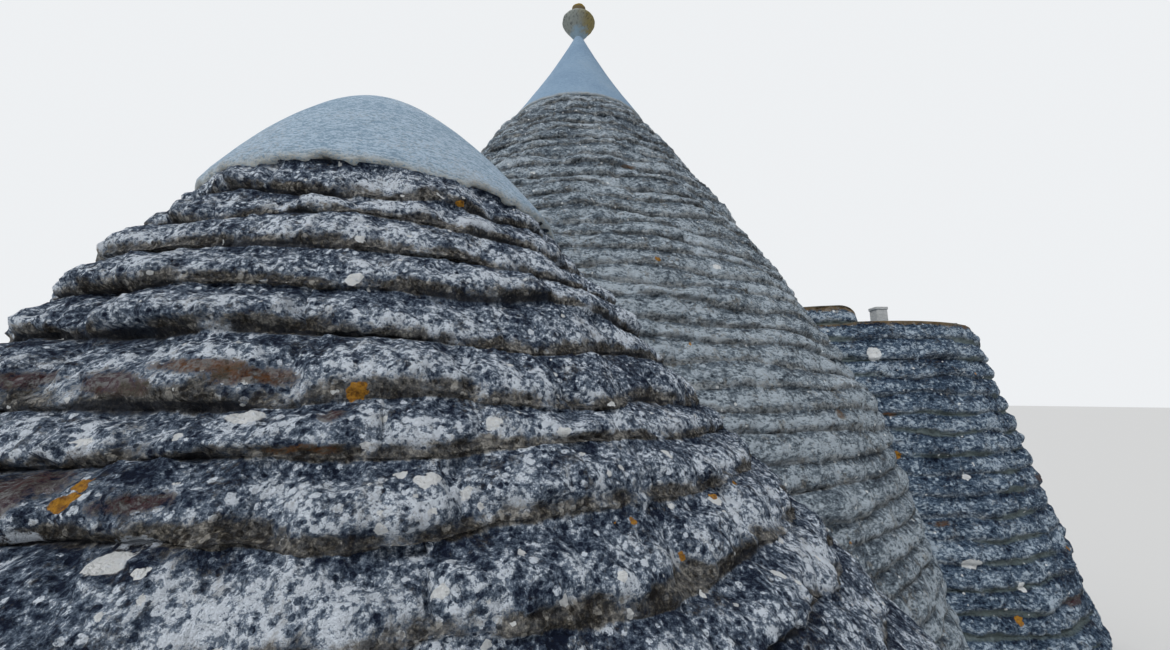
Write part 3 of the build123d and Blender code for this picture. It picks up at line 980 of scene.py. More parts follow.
@dataclass
class CoursedShell:
    """A wall or cone of stone courses round one axis, hollow or solid inside.

    The stones of a course are set out, askew and nosed up or down by as much as setting
    says, and the joints between them are clefts of the given depth and shape.
    """

    name: str
    axis: Point
    face: Sequence[Point]
    joints: Sequence[float]
    inner: Sequence[Point]
    steps: int
    seed: int
    sweep: Optional[Point] = None
    roll: Roll = SHELVED
    crest: float = 0.0
    stone_length: Point = (0.24, 0.60)
    relief: float = 1.0
    wave: float = 0.010
    filling: float = 0.5
    seam: float = 0.14
    crusted: bool = False
    slabs: bool = False
    setting: Place = (0.017, 0.026, 0.022)
    cleft: float = 0.044
    cleft_shape: tuple[Point, ...] = ((0.6, 0.075), (0.4, 0.030))
    belly: float = 0.018
    batter: float = 0.012
    slab: float = 0.27
    slab_step: float = 0.014
    groove: Point = (0.012, 0.016)
    skin: float = 0.006

    def drift(self, rng: np.random.Generator, bearing: np.ndarray) -> np.ndarray:
        """Rise and fall of each joint round the mass.

        Args:
            rng: seeded random numbers.
            bearing: bearing of each vertex.

        Returns:
            One row a joint, one column a vertex.
        """
        waves = np.zeros((len(self.joints), len(bearing)))
        for index in range(1, len(self.joints) - 1):
            for count in (2, 5, 9, 14):
                size = rng.uniform(0.3, 1.0) * self.wave
                waves[index] += size * np.sin(count * bearing + rng.uniform(0.0, math.tau))
        return waves

    def stones(
        self, rng: np.random.Generator, bearing: np.ndarray, radius: float
    ) -> tuple[np.ndarray, np.ndarray, np.ndarray, int]:
        """Divide one course into stones.

        Args:
            rng: seeded random numbers.
            bearing: bearing of each vertex in the course.
            radius: radius of the course.

        Returns:
            Stone of each vertex, its place along the stone from 0 to 1, the distance to
            the stone's nearer end in metres, and the number of stones.
        """
        cuts = [0.0]
        while cuts[-1] < math.tau:
            cuts.append(cuts[-1] + rng.uniform(*self.stone_length) / radius)
        ends = np.array(cuts) * math.tau / cuts[-1]
        turned = np.mod(bearing + rng.uniform(0.0, math.tau), math.tau)
        which = np.clip(np.searchsorted(ends, turned) - 1, 0, len(ends) - 2)
        length = ends[which + 1] - ends[which]
        along = (turned - ends[which]) / length
        return which, along, np.minimum(along, 1.0 - along) * length * radius, len(ends)

    def lay_stones(self, piece: Piece) -> None:
        """Divide each course into stones and set each a little out, in, up, down and askew.

        Args:
            piece: the freshly spun shell.
        """
        points = coordinates(piece)
        across, reach, bearing = polar(points, self.axis)
        height = points[:, 2]
        joints = np.array(self.joints)
        nominal = np.interp(height, *zip(*self.face))
        outer = reach > nominal - self.roll.depth - self.skin
        course = np.clip(np.searchsorted(joints, height + 1e-5) - 1, 0, len(joints) - 2)
        share = np.clip((height - joints[course]) / (joints[course + 1] - joints[course]), 0.0, 1.0)
        edge = ((course == 0) & (share < 0.02)) | ((course == len(joints) - 2) & (share > 0.98))
        rng = np.random.default_rng(self.seed)
        waves = self.drift(rng, bearing)
        out, lip, tint = np.zeros((3, len(points)))
        for index in range(len(joints) - 1):
            here = outer & (course == index)
            which, along, gap, count = self.stones(rng, bearing[here], radius_at(self.face, joints[index]))
            offset, askew, nose = rng.uniform(-1.0, 1.0, (3, count)) * np.array(self.setting)[:, None]
            cleft = rng.uniform(0.15, 1.0, count) ** 1.5 * self.cleft
            body = np.clip(np.sin(np.pi * np.clip(share[here], 0.03, 1.0)) + 0.1, 0.2, 1.0)
            shape = offset[which] * eased(gap, 0.0, 0.06) + askew[which] * (along - 0.5)
            shape += self.belly * (1.0 - np.abs(2.0 * along - 1.0) ** 3)
            for depth, width in self.cleft_shape:
                shape -= cleft[which] * depth * np.exp(-((gap / width) ** 2))
            out[here] = shape * body + rng.uniform(-self.batter, self.batter)
            lip[here] = nose[which] * eased(gap, 0.0, 0.08)
            tint[here] = rng.uniform(0.0, 1.0, count)[which]
        out += lumps(points, 0.28, self.seed) * 0.020 + lumps(points, 0.12, self.seed + 1) * 0.015
        out += np.abs(lumps(points, 0.06, self.seed + 2)) * -0.014
        crease = np.maximum(1.0 - eased(share, 0.03, self.seam), eased(share, 1.0 - 0.7 * self.seam, 0.99))
        filled = eased(lumps(points, 0.45, self.seed + 3), -0.35, 0.55) * self.filling
        out += crease * filled * self.roll.depth * 0.8
        free = outer & ~edge
        every = np.arange(len(points))
        rise = waves[course, every] * (1.0 - share) + waves[course + 1, every] * share
        rise += lip * np.clip(share / 0.06, 0.3, 1.0) * (1.0 - share) ** 2
        points[:, 2] += np.where(free, rise * (0.4 + 0.6 * self.relief), 0.0)
        away = across / np.maximum(reach, 1e-6)[:, None]
        points[:, :2] += away * np.where(free, (out - 0.010) * self.relief, 0.0)[:, None]
        crown = eased(height, joints[-1] - 0.10, joints[-1]) * self.crusted
        top = self.slabs & ~outer & (height > joints[-1] - 1e-4)
        for name, values in (
            # riser: underside of each roll, painted brown, partly as staining and partly as shade
            ("riser", np.where(outer, 1.0 - eased(share, 0.08, 0.46), 0.0)),
            # tread: back of each course under the next, where shade and damp are painted darker
            ("tread", np.where(outer, eased(share, 0.62, 0.92), 0.0)),
            # recess: the joints between rolls, where shade is painted dark
            ("recess", np.where(outer, crease * (1.0 - 0.8 * filled), 0.0)),
            ("crown", np.where(reach > self.crest - 0.12, crown, 0.0)),
            ("inside", np.where(outer | top, 0.0, 1.0)),
            ("tint", tint),
        ):
            set_attribute(piece, name, values)
        if self.slabs:
            points[:, 2] += np.where(top, self.slab_drop(rng, bearing, reach), 0.0)
        set_coordinates(piece, points)
        piece.vertex_groups.new(name=WEATHERED).add(np.nonzero(free)[0].tolist(), 1.0, "REPLACE")

    def slab_drop(self, rng: np.random.Generator, bearing: np.ndarray, reach: np.ndarray) -> np.ndarray:
        """How far below the rim the flat slabs of a roof lie.

        Args:
            rng: seeded random numbers.
            bearing: bearing of each vertex.
            reach: distance of each vertex from the axis.

        Returns:
            A height of zero or less for each vertex.
        """
        ring = np.floor(reach / self.slab).astype(int)
        drop = np.zeros(len(reach))
        for index in range(int(ring.max()) + 1):
            here = ring == index
            which, _, gap, count = self.stones(rng, bearing[here], max(self.slab * (index + 0.5), 0.1))
            step = np.abs(reach[here] - self.slab * np.round(reach[here] / self.slab))
            depth, width = self.groove
            groove = np.exp(-((np.minimum(gap, step) / width) ** 2))
            drop[here] = -rng.uniform(0.0, self.slab_step, count)[which] - depth * groove
        return drop

    def build(self) -> Piece:
        """Spin the section, lay its stones and weather them.

        Returns:
            The finished mesh.
        """
        section = self.roll.edge(self.face, self.joints, self.crest) + list(self.inner)
        piece = spun(self.name, section, self.axis, self.steps, self.sweep)
        self.lay_stones(piece)
        for size, depth in ((0.16, 0.052), (0.05, 0.032)):
            roughen(piece, size, depth * self.relief, WEATHERED)
        keep_inside(piece)
        smooth(piece, 80.0)
        return piece


@dataclass
class PlasterCap:
    """A plastered cap: an outline turned round an axis, its lower edge a little ragged."""

    name: str
    axis: Point
    outline: Sequence[Point]
    steps: int
    seed: int
    ragged: float
    uneven: float = 0.006
    hem: float = 0.08

    def build(self) -> Piece:
        """Spin the outline and make it as uneven as hand work.

        Returns:
            The finished mesh.
        """
        base_radius, base = self.outline[0]
        section = [(0.0, base), (base_radius - 0.03, base)] + list(self.outline)
        piece = spun(self.name, section, self.axis, self.steps)
        points = coordinates(piece)
        across, reach, _ = polar(points, self.axis)
        away = across / np.maximum(reach, 1e-6)[:, None]
        low = (points[:, 2] < base + self.hem) & (reach > base_radius - self.hem)
        around = np.column_stack([away * base_radius, np.zeros(len(points))])
        hem = 0.8 * lumps(around, 0.30, self.seed) + 0.8 * lumps(around, 0.11, self.seed + 1)
        hem += lumps(around, 0.045, self.seed + 5)
        weight = 1.0 - eased(points[:, 2], base + 0.005, base + self.hem)
        fringe = 1.0 - eased(points[:, 2], base + 0.012, base + 0.05)
        fringe = np.where(reach > base_radius - 0.06, fringe, 0.0)
        points[:, 2] += np.where(low, (hem - 0.6) * self.ragged * weight, 0.0)
        swell = lumps(points, 0.45, self.seed + 2) * self.uneven + lumps(points, 0.12, self.seed + 3) * 0.002
        points[:, :2] += away * (swell * eased(reach, 0.05, 0.4))[:, None]
        set_coordinates(piece, points)
        set_attribute(piece, "hem", fringe)
        smooth(piece, 70.0)
        return piece


@dataclass
class Studio:
    """Plain pale floor, soft lights and the camera."""

    lens: float = 13.54
    sensor: float = 36.0
    eye: Place = (0.10, -6.0, 2.6)
    pitch: float = 9.67
    floor_colour: Colour = (0.62, 0.62, 0.61)

    def place_seen(self, pixel: Point, pieces: Sequence[Piece]) -> Optional[Place]:
        """Find what shows at a pixel of the photograph.

        Args:
            pixel: place in the photograph's frame.
            pieces: objects that the line of sight may meet.

        Returns:
            The nearest place where it meets one, or None.
        """
        focal = self.lens / self.sensor * PHOTO_WIDTH
        right = (pixel[0] - PHOTO_WIDTH / 2.0) / focal
        up = (PHOTO_HEIGHT / 2.0 - pixel[1]) / focal
        sine, cosine = math.sin(math.radians(self.pitch)), math.cos(math.radians(self.pitch))
        sight = np.array([right, cosine - up * sine, sine + up * cosine])
        sight = sight / np.linalg.norm(sight)
        hits = [piece.ray_cast(self.eye, tuple(sight)) for piece in pieces]
        places = [tuple(place) for met, place, _, _ in hits if met]
        return min(places, key=lambda place: math.dist(place, self.eye), default=None)

    def camera(self) -> None:
        """Camera at the photograph's place and angle."""
        data = bpy.data.cameras.new("camera")
        data.lens = self.lens
        data.sensor_width = self.sensor
        data.sensor_fit = "HORIZONTAL"
        data.clip_start = 0.05
        camera = bpy.data.objects.new("camera", data)
        camera.location = self.eye
        camera.rotation_euler = (math.radians(90.0 + self.pitch), 0.0, 0.0)
        bpy.context.scene.collection.objects.link(camera)
        bpy.context.scene.camera = camera

    def floor(self) -> None:
        """Pale floor with a plain finish."""
        bpy.ops.object.select_all(action="DESELECT")
        bpy.ops.mesh.primitive_plane_add(size=400.0, location=(0.0, 0.0, -0.002))
        floor = bpy.context.object
        floor.name = "studio_floor"
        floor.data.materials.append(Shader("studio_floor").finish(self.floor_colour, 0.9))

    def lights(self) -> None:
        """Soft key from high in front, a softer one from behind, and an even world."""
        for name, tilt, turn, strength, spread in (
            ("key", 40.0, -30.0, 1.7, 20.0),
            ("back", -50.0, 10.0, 0.9, 30.0),
        ):
            data = bpy.data.lights.new(name, "SUN")
            data.energy = strength
            data.angle = math.radians(spread)
            lamp = bpy.data.objects.new(name, data)
            lamp.rotation_euler = (math.radians(tilt), 0.0, math.radians(turn))
            bpy.context.scene.collection.objects.link(lamp)
        world = bpy.data.worlds.new("studio")
        bpy.context.scene.world = world
        world.use_nodes = True
        tree = world.node_tree
        tree.nodes.clear()
        output = tree.nodes.new("ShaderNodeOutputWorld")
        blend = tree.nodes.new("ShaderNodeMixShader")
        path = tree.nodes.new("ShaderNodeLightPath")
        tree.links.new(path.outputs["Is Camera Ray"], blend.inputs["Fac"])
        tree.links.new(blend.outputs[0], output.inputs["Surface"])
        for index, colour, strength in ((1, (0.94, 0.96, 1.0, 1.0), 0.5), (2, (0.90, 0.92, 0.94, 1.0), 0.95)):
            light = tree.nodes.new("ShaderNodeBackground")
            light.inputs["Color"].default_value = colour
            light.inputs["Strength"].default_value = strength
            tree.links.new(light.outputs[0], blend.inputs[index])


@dataclass
class Masonry:
    """Shells that share one stone finish, with the rosettes and stains seen on them."""

    finish: LichenStone
    marks: Sequence[Mark]
    studio: Studio
    shells: list[tuple[Piece, Sequence[str]]] = field(default_factory=list)

    def add(self, piece: Piece, nodes: Sequence[str]) -> None:
        """Remember a shell and the CAD nodes that it stands for."""
        self.shells.append((piece, nodes))

    def dress(self) -> None:
        """Find where the marks sit, make the finish and hand the shells over."""
        pieces = [piece for piece, _ in self.shells]
        found = [(self.studio.place_seen(mark.pixel, pieces), mark) for mark in self.marks]
        material = self.finish.material([(place, mark) for place, mark in found if place is not None])
        for piece, nodes in self.shells:
            hand_over(piece, material, nodes)


@dataclass
class TallTrullo:
    """The tall cone: battered wall with its ways, cone, crown, cap and pinnacle."""

    masonry: Masonry
    plaster: Material
    carved: Material
    way_start: float = 2.0
    way_length: float = 2.4
    way_foot: float = -0.3

    def shell(self, part: str, low: float, high: float, **choices: object) -> Piece:
        """Build one shell of the tall trullo's courses.

        Args:
            part: what the shell is, for its name.
            low: height of its foot.
            high: height of its top.
            choices: other fields of the shell.

        Returns:
            The finished mesh.
        """
        joints = even_joints(low, high, TALL_COURSE)
        shell = CoursedShell(f"tall_{part}_stones", TALL_AXIS, TALL_FACE, joints, roll=GENTLE, **choices)
        return shell.build()

    def way_cutter(self, width: float, spring: float, aside: Place, turn: float) -> Piece:
        """Arch-shaped bar that is taken out of the wall.

        Args:
            width: width of the way.
            spring: height at which its arch starts.
            aside: how far the way is off the middle of the room.
            turn: bearing of the way in degrees.

        Returns:
            The closed cutter, from under the ground to the top of the arch.
        """
        half = width / 2.0
        outline = [(-half, self.way_foot), (half, self.way_foot)]
        for angle in np.linspace(0.0, math.pi, 17):
            outline.append((half * math.cos(angle), spring + half * math.sin(angle)))
        bearing = math.radians(turn)
        ahead = np.array([math.cos(bearing), math.sin(bearing), 0.0])
        side = np.array([-ahead[1], ahead[0], 0.0])
        start = np.array(aside) + ahead * self.way_start
        points = np.array([start + side * x + (0.0, 0.0, z) for x, z in outline])
        cutter = outlined("way_cut", points, "NGON")
        with edited():
            extruded(tuple(ahead * self.way_length))
        return cutter

    def wall(self) -> None:
        """Wall from the ground to the spring of the vault, with three arched ways."""
        inner = ((ROOM_RADIUS, ROOM_HEIGHT), (ROOM_RADIUS, 0.0))
        piece = self.shell("wall", 0.0, ROOM_HEIGHT, inner=inner, steps=480, seed=11, relief=0.85, wave=0.018)
        for width, spring, aside, turn in (
            (DOORWAY_WIDTH, DOORWAY_SPRING, 0.0, 90.0),
            (PASSAGE_WIDTH, PASSAGE_SPRING, ALCOVE_WAY_X, -90.0),
            (PASSAGE_WIDTH, PASSAGE_SPRING, 0.0, 0.0),
        ):
            cut_away(piece, self.way_cutter(width, spring, (aside, 0.0, 0.0), turn))
        self.masonry.add(piece, nodes_named("tall_wall_", "doorway_arch", "alcove_arch", "annex_arch"))

    def cone(self) -> None:
        """Cone over the vault, in two tiers, and the solid crown."""
        lean = (ROOM_RADIUS - VAULT_TOP_RADIUS) / (VAULT_TOP_HEIGHT - ROOM_HEIGHT)
        for tier, low, high, steps, seed in (
            ("lower", ROOM_HEIGHT, VAULT_TIER_HEIGHT, 560, 23),
            ("upper", VAULT_TIER_HEIGHT, VAULT_TOP_HEIGHT, 460, 31),
        ):
            piece = self.shell(
                f"cone_{tier}",
                low,
                high,
                inner=[(ROOM_RADIUS - lean * (z - ROOM_HEIGHT), z) for z in (high, low)],
                steps=steps,
                seed=seed,
                relief=0.85,
                wave=0.024,
                filling=1.0,
                stone_length=(0.16, 0.42),
            )
            self.masonry.add(piece, nodes_named(f"tall_cone_{tier}_"))
        crown = self.shell(
            "crown",
            VAULT_TOP_HEIGHT,
            TALL_TOP,
            inner=((0.0, TALL_TOP), (0.0, VAULT_TOP_HEIGHT)),
            steps=320,
            seed=37,
            relief=0.8,
            wave=0.018,
            filling=1.0,
            crest=TALL_CAP_RADIUS - 0.012,
            stone_length=(0.16, 0.36),
        )
        self.masonry.add(crown, ["tall_crown"])

    def cap(self) -> None:
        """White cap, drawn in to a neck."""
        foot = TALL_TOP + 0.03
        outline = [(TALL_CAP_RADIUS - 0.012, TALL_TOP), (TALL_CAP_RADIUS, TALL_TOP + 0.014)]
        for t in np.linspace(0.0, 1.0, 64):
            waist = 4.0 * TALL_CAP_WAIST * t * (1.0 - t)
            radius = TALL_CAP_RADIUS + (NECK_RADIUS - TALL_CAP_RADIUS) * t - waist
            outline.append((radius, foot + (NECK_HEIGHT - foot) * t))
        outline.append((0.0, NECK_HEIGHT))
        cap = PlasterCap("tall_cap_plaster", TALL_AXIS, outline, steps=220, seed=61, ragged=0.010)
        hand_over(cap.build(), self.plaster, ["tall_cap"])

    def pinnacle(self) -> None:
        """Stone ball drawn down into the neck, and the knob on it."""
        belly = BALL_HEIGHT - BALL_BELLY_DROP
        outline = [(0.0, NECK_HEIGHT - 0.02), (NECK_RADIUS - 0.004, NECK_HEIGHT - 0.02)]
        for t in np.linspace(0.0, 1.0, 34):
            radius = NECK_RADIUS * (1.0 - t) ** 2 + BALL_RADIUS * (1.0 - (1.0 - t) ** 2)
            height = NECK_HEIGHT * (1.0 - t) ** 2 + belly * 2.0 * t * (1.0 - t) + BALL_HEIGHT * t * t
            outline.append((radius, height))
        for angle in np.radians(np.linspace(4.0, math.degrees(math.acos(KNOB_RADIUS / BALL_RADIUS)), 18)):
            outline.append((BALL_RADIUS * math.cos(angle), BALL_HEIGHT + BALL_HALF_HEIGHT * math.sin(angle)))
        seat = outline[-1][1]
        top = seat + KNOB_HEIGHT
        knob = [(0.0, seat - 0.012), (KNOB_RADIUS - 0.004, seat - 0.012), (KNOB_RADIUS, seat + 0.02)]
        for angle in np.radians(np.linspace(0.0, 90.0, 14)):
            radius = KNOB_RADIUS - KNOB_ROUND * (1.0 - math.cos(angle))
            knob.append((radius, top - KNOB_ROUND * (1.0 - math.sin(angle))))
        for part, section, tip, steps, roughness in (
            ("ball", outline, seat, 96, ((0.12, 0.016), (0.04, 0.008))),
            ("knob", knob, top, 64, ((0.06, 0.012),)),
        ):
            stone = spun(f"pinnacle_{part}_stone", [*section, (0.0, tip)], TALL_AXIS, steps)
            for size, depth in roughness:
                roughen(stone, size, depth)
            keep_inside(stone)
            smooth(stone, 70.0)
            hand_over(stone, self.carved, [f"pinnacle_{part}"])


@dataclass
class LowTrullo:
    """The low cone: wall, cone over the alcove, crown and domed cap."""

    masonry: Masonry
    plaster: Material
    outward: float = math.degrees(math.atan2(LOW_AXIS[1], LOW_AXIS[0]))
    spread: float = 120.0
    crown_reach: float = 2.35

    def stones(self) -> None:
        """Wall, cone and crown."""
        sweep = (self.outward - self.spread, self.outward + self.spread)
        wall = CoursedShell(
            name="low_wall_stones",
            axis=LOW_AXIS,
            face=LOW_WALL_FACE,
            joints=even_joints(0.0, LOW_EAVES, LOW_COURSE),
            inner=((ALCOVE_RADIUS, LOW_EAVES), (ALCOVE_RADIUS, 0.0)),
            steps=340,
            seed=41,
            sweep=sweep,
            relief=0.9,
        )
        self.masonry.add(wall.build(), nodes_named("low_wall_"))
        stepped = partial(
            CoursedShell, axis=LOW_AXIS, face=LOW_CONE_FACE, roll=STEPPED, wave=0.016, filling=1.0
        )
        cone = stepped(
            name="low_cone_stones",
            joints=LOW_CONE_JOINTS,
            inner=((ALCOVE_VAULT_RADIUS, LOW_CONE_JOINTS[-1]), (ALCOVE_RADIUS, LOW_EAVES)),
            steps=800,
            seed=43,
            sweep=sweep,
            relief=1.1,
            stone_length=(0.30, 0.85),
        ).build()
        crown = stepped(
            name="low_crown_stones",
            joints=LOW_CROWN_JOINTS,
            inner=((0.0, LOW_TOP), (0.0, LOW_CROWN_JOINTS[0])),
            steps=600,
            seed=47,
            crest=LOW_CAP_RADIUS - 0.01,
            stone_length=(0.26, 0.60),
        ).build()
        away = np.array(LOW_AXIS) / math.hypot(*LOW_AXIS)
        halved(crown, (*(away * self.crown_reach), LOW_CROWN_JOINTS[0]), (-away[0], -away[1], 0.0))
        for piece, nodes in ((cone, nodes_named("low_cone_")), (crown, ["low_crown"])):
            leaned(piece)
            self.masonry.add(piece, nodes)

    def cap(self) -> None:
        """White domed cap, full at its shoulder and round at its top."""
        outline = [(LOW_CAP_RADIUS - 0.008, LOW_TOP), (LOW_CAP_RADIUS, LOW_TOP + 0.02)]
        spring = LOW_TOP + 0.04
        for t in np.linspace(0.0, 1.0, 56):
            radius = LOW_CAP_RADIUS * (1.0 - t) ** 2 + LOW_CAP_SHOULDER * 2.0 * t * (1.0 - t)
            outline.append((radius, LOW_CAP_TOP - (LOW_CAP_TOP - spring) * (1.0 - t) ** 2))
        piece = PlasterCap("low_cap_plaster", LOW_AXIS, outline, steps=420, seed=67, ragged=0.020).build()
        leaned(piece)
        hand_over(piece, self.plaster, ["low_cap"])


@dataclass
class Annex:
    """The round annex: wall, flat roof, what is left of a course, and the chimney."""

    masonry: Masonry
    plaster: Material
    sweep: Point = (-130.0, 130.0)
    upper_sweep: Point = (-134.0, -103.5)
    roof_edge: float = 2.2
    roof_cut: Point = (2.7, 3.7)
    chimney_cut: Point = (1.5, 4.5)
    seat: float = 0.03

    def stones(self) -> None:
        """Wall up to the ceiling, roof, and the part of a course on its front rim."""
        annex = partial(CoursedShell, axis=ANNEX_AXIS)
        walled = partial(annex, face=ANNEX_FACE, roll=GENTLE, relief=0.95, wave=0.016, seam=0.36, filling=0.9)
        wall = walled(
            name="annex_wall_stones",
            joints=even_joints(0.0, ANNEX_CEILING, ANNEX_COURSE),
            inner=((ANNEX_CEILING_RADIUS, ANNEX_CEILING), (ANNEX_ROOM_RADIUS, 0.0)),
            steps=380,
            seed=53,
            sweep=self.sweep,
            stone_length=(0.22, 0.60),
        )
        self.masonry.add(wall.build(), nodes_named("annex_wall_"))
        top = ANNEX_TOP
        rings = [(radius, top) for radius in np.arange(1.50, 0.0, -0.03)]
        roof = walled(
            name="annex_roof_stones",
            joints=even_joints(ANNEX_CEILING, top, ANNEX_COURSE),
            inner=rings + [(0.0, top), (0.0, ANNEX_CEILING)],
            steps=300,
            seed=59,
            crest=radius_at(ANNEX_FACE, top) - 0.03,
            crusted=True,
            slabs=True,
        )
        piece = roof.build()
        halved(piece, (self.roof_edge, 0.0, top), (-1.0, 0.0, 0.0))
        cut_away(piece, chimney_bar("flue_cut", CHIMNEY_FLUE, *self.roof_cut))
        self.masonry.add(piece, ["annex_roof"])
        high = top + UPPER_COURSE_HEIGHT
        upper = annex(
            name="annex_upper_course_stones",
            face=ANNEX_FACE + ((high, radius_at(ANNEX_FACE, top) - 0.04),),
            joints=[top, high],
            inner=((1.35, high), (1.2, top + 0.15), (1.04, top + 0.1), (1.04, top)),
            steps=90,
            seed=71,
            sweep=self.upper_sweep,
            crest=radius_at(ANNEX_FACE, top) - 0.06,
            crusted=True,
        )
        piece = upper.build()
        self.wear_down(piece)
        self.masonry.add(piece, ["annex_upper_course"])

    def wear_down(self, piece: Piece) -> None:
        """Round the broken end of the upper course and let its top fall towards that end."""
        start, end = self.upper_sweep
        points = coordinates(piece)
        across, reach, bearing = polar(points, ANNEX_AXIS)
        bearing = np.degrees(bearing)
        left = np.clip((end - bearing) / 7.0, 0.0, 1.0)
        swell = np.sqrt(1.0 - (1.0 - left) ** 2)
        fall = 1.12 - 0.16 * np.clip((bearing - start) / (end - start), 0.0, 1.0)
        rise = np.maximum(points[:, 2] - ANNEX_TOP, 0.0)
        points[:, 2] = ANNEX_TOP + rise * fall * (0.25 + 0.75 * swell)
        middle = radius_at(ANNEX_FACE, ANNEX_TOP) - UPPER_COURSE_DEPTH / 2.0
        narrowed = middle + (reach - middle) * (0.45 + 0.55 * swell)
        points[:, :2] = np.array(ANNEX_AXIS) + across * (narrowed / reach)[:, None]
        set_coordinates(piece, points)

    def chimney(self) -> None:
        """Plastered shaft with a flue, and the thin slab round its mouth."""
        mouth = ANNEX_TOP + CHIMNEY_HEIGHT
        slab_width = CHIMNEY_WIDTH + 2.0 * CHIMNEY_SLAB_OVERHANG
        for part, width, low, high in (
            ("shaft", CHIMNEY_WIDTH, ANNEX_TOP - self.seat, mouth),
            ("cap", slab_width, mouth, mouth + CHIMNEY_SLAB),
        ):
            piece = chimney_bar(f"chimney_{part}_plaster", width, low, high)
            with edited():
                bpy.ops.mesh.bevel(offset=0.008, segments=3, affect="EDGES")
                bpy.ops.mesh.subdivide(number_cuts=4)
            roughen(piece, 0.08, 0.006)
            cut_away(piece, chimney_bar("flue_cut", CHIMNEY_FLUE, *self.chimney_cut))
            smooth(piece, 45.0)
            hand_over(piece, self.plaster, [f"chimney_{part}"])


@dataclass
class Doorway:
    """Squared stones round the doorway on the far side, long and short by turns."""

    dressed: Material
    depth: float = 0.30
    proud: float = 0.012
    reveal: float = 0.012
    gap: float = 0.004
    heights: tuple[float, ...] = (0.27, 0.22, 0.26, 0.24, 0.25, 0.26)
    short: float = 0.19
    longer: float = 0.11
    wedges: int = 11
    wedge: float = 0.20
    keystone: float = 0.26

    def block(self, corners: Sequence[Point]) -> Piece:
        """One squared stone.

        Args:
            corners: four (x, z) corners of its front.

        Returns:
            The stone, with worn edges.
        """
        back = self.proud - self.depth
        points = np.array([[x, radius_at(TALL_FACE, z) + back, z] for x, z in corners])
        stone = outlined("block", points, "NGON")
        with edited():
            extruded((0.0, self.depth, 0.0))
            bpy.ops.mesh.bevel(offset=0.009, segments=2, affect="EDGES")
            bpy.ops.mesh.subdivide(number_cuts=3)
        return stone

    def build(self) -> None:
        """Jambs of long and short stones, and an arch of wedge-shaped ones."""
        rng = np.random.default_rng(83)
        half = DOORWAY_WIDTH / 2.0
        near = half - self.reveal
        gap = self.gap
        stones = []
        for side in (-1.0, 1.0):
            foot = 0.0
            for index, height in enumerate(self.heights):
                far = half + (self.short + self.longer * (index % 2) + rng.uniform(-0.015, 0.015))
                top = min(foot + height, DOORWAY_SPRING)
                corners = ((near, foot + gap), (far, foot + gap), (far, top - gap), (near, top - gap))
                stones.append(self.block([(side * x, z) for x, z in corners]))
                foot = top
        slit = gap / half
        for index in range(self.wedges):
            first, last = (math.pi * (index + step) / self.wedges for step in (0, 1))
            keystone = index == self.wedges // 2
            deep = half + (self.keystone if keystone else self.wedge + rng.uniform(-0.01, 0.01))
            narrow = 0.6 * slit
            fan = ((near, first + slit), (deep, first + narrow), (deep, last - narrow), (near, last - slit))
            corners = [(reach * math.cos(angle), reach * math.sin(angle)) for reach, angle in fan]
            stones.append(self.block([(x, DOORWAY_SPRING + z) for x, z in corners]))
        only(stones[0])
        for stone in stones:
            stone.select_set(True)
        bpy.ops.object.join()
        surround = stones[0]
        surround.name = "doorway_surround_stones"
        roughen(surround, 0.06, 0.010)
        keep_inside(surround)
        smooth(surround, 40.0)
        hand_over(surround, self.dressed, [])


def dress_nodes(finishes: dict[Role, Material]) -> None:
    """Give every CAD node that stays in view the finish of its slot."""
    for entry in frame["record"]["subparts"]:
        node = frame["nodes"][entry["node"]]
        node.data.materials.clear()
        node.data.materials.append(finishes[Role(entry["material_slot"])])


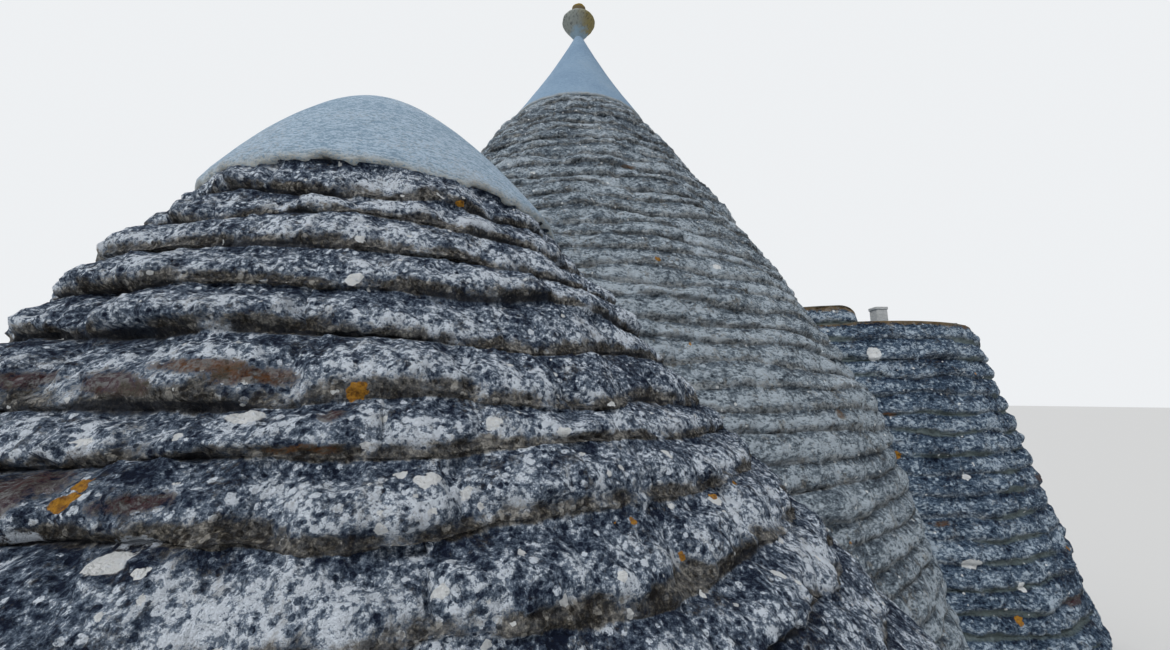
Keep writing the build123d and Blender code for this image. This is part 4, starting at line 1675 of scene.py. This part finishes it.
def main() -> None:
    """Build and dress the house, then light it."""
    logging.basicConfig(level=logging.INFO, format="%(asctime)s %(name)s: %(message)s", force=True)
    bpy.context.scene.view_settings.view_transform = "Standard"
    studio = Studio()
    studio.camera()
    studio.floor()
    studio.lights()
    plaster = LimePlaster().material()
    # painted shade: the tall cap's plaster is the same white plaster, painted darker and bluer than the
    # dome's because it lay deeper in shade
    shaded_smooth_plaster = LimePlaster(
        name="lime_plaster_smooth_shaded",
        white=(0.290, 0.415, 0.550),
        shade=(0.195, 0.298, 0.425),
        marking=0.45,
    ).material()
    finishes = {
        Role.STONE: LichenStone().material(),
        Role.PLASTER: plaster,
        Role.PINNACLE: CarvedStone().material(),
        Role.DRESSED: DressedStone().material(),
        Role.PAVING: Paving().material(),
    }
    dress_nodes(finishes)
    tall_stone = LichenStone(
        name="lichen_limestone_tall",
        black=(0.022, 0.032, 0.048),
        slate=(0.070, 0.092, 0.120),
        mid=(0.130, 0.168, 0.205),
        grey=(0.230, 0.285, 0.335),
        frost=(0.540, 0.620, 0.690),
        earth=(0.150, 0.138, 0.115),
        sand=(0.380, 0.365, 0.320),
        joint=(0.060, 0.066, 0.070),
        speck=34.0,
        flatness=1.9,
        contrast=0.78,
        lightness=0.235,
        brownness=0.50,
        warmth=0.65,
        painted_top_shade=0.14,
        joint_and_recess_shade=0.30,
    )
    annex_stone = LichenStone(
        name="lichen_limestone_annex",
        slate=(0.026, 0.050, 0.090),
        mid=(0.070, 0.112, 0.172),
        grey=(0.150, 0.215, 0.298),
        frost=(0.520, 0.620, 0.720),
        joint=(0.135, 0.172, 0.166),
        speck=34.0,
        flatness=1.8,
        contrast=0.80,
        lightness=0.075,
        brownness=0.30,
        joint_and_recess_shade=0.85,
    )
    tall = TallTrullo(Masonry(tall_stone, TALL_MARKS, studio), shaded_smooth_plaster, finishes[Role.PINNACLE])
    tall.wall()
    tall.cone()
    tall.masonry.dress()
    tall.cap()
    tall.pinnacle()
    low = LowTrullo(Masonry(LichenStone(name="lichen_limestone_low"), LOW_MARKS, studio), plaster)
    low.stones()
    low.masonry.dress()
    low.cap()
    chimney_plaster = LimePlaster(
        name="lime_plaster_chimney",
        white=(0.600, 0.610, 0.600),
        shade=(0.440, 0.455, 0.455),
        marking=0.45,
    ).material()
    annex = Annex(Masonry(annex_stone, ANNEX_MARKS, studio), chimney_plaster)
    annex.stones()
    annex.masonry.dress()
    annex.chimney()
    Doorway(finishes[Role.DRESSED]).build()


if __name__ == "__main__":
    main()
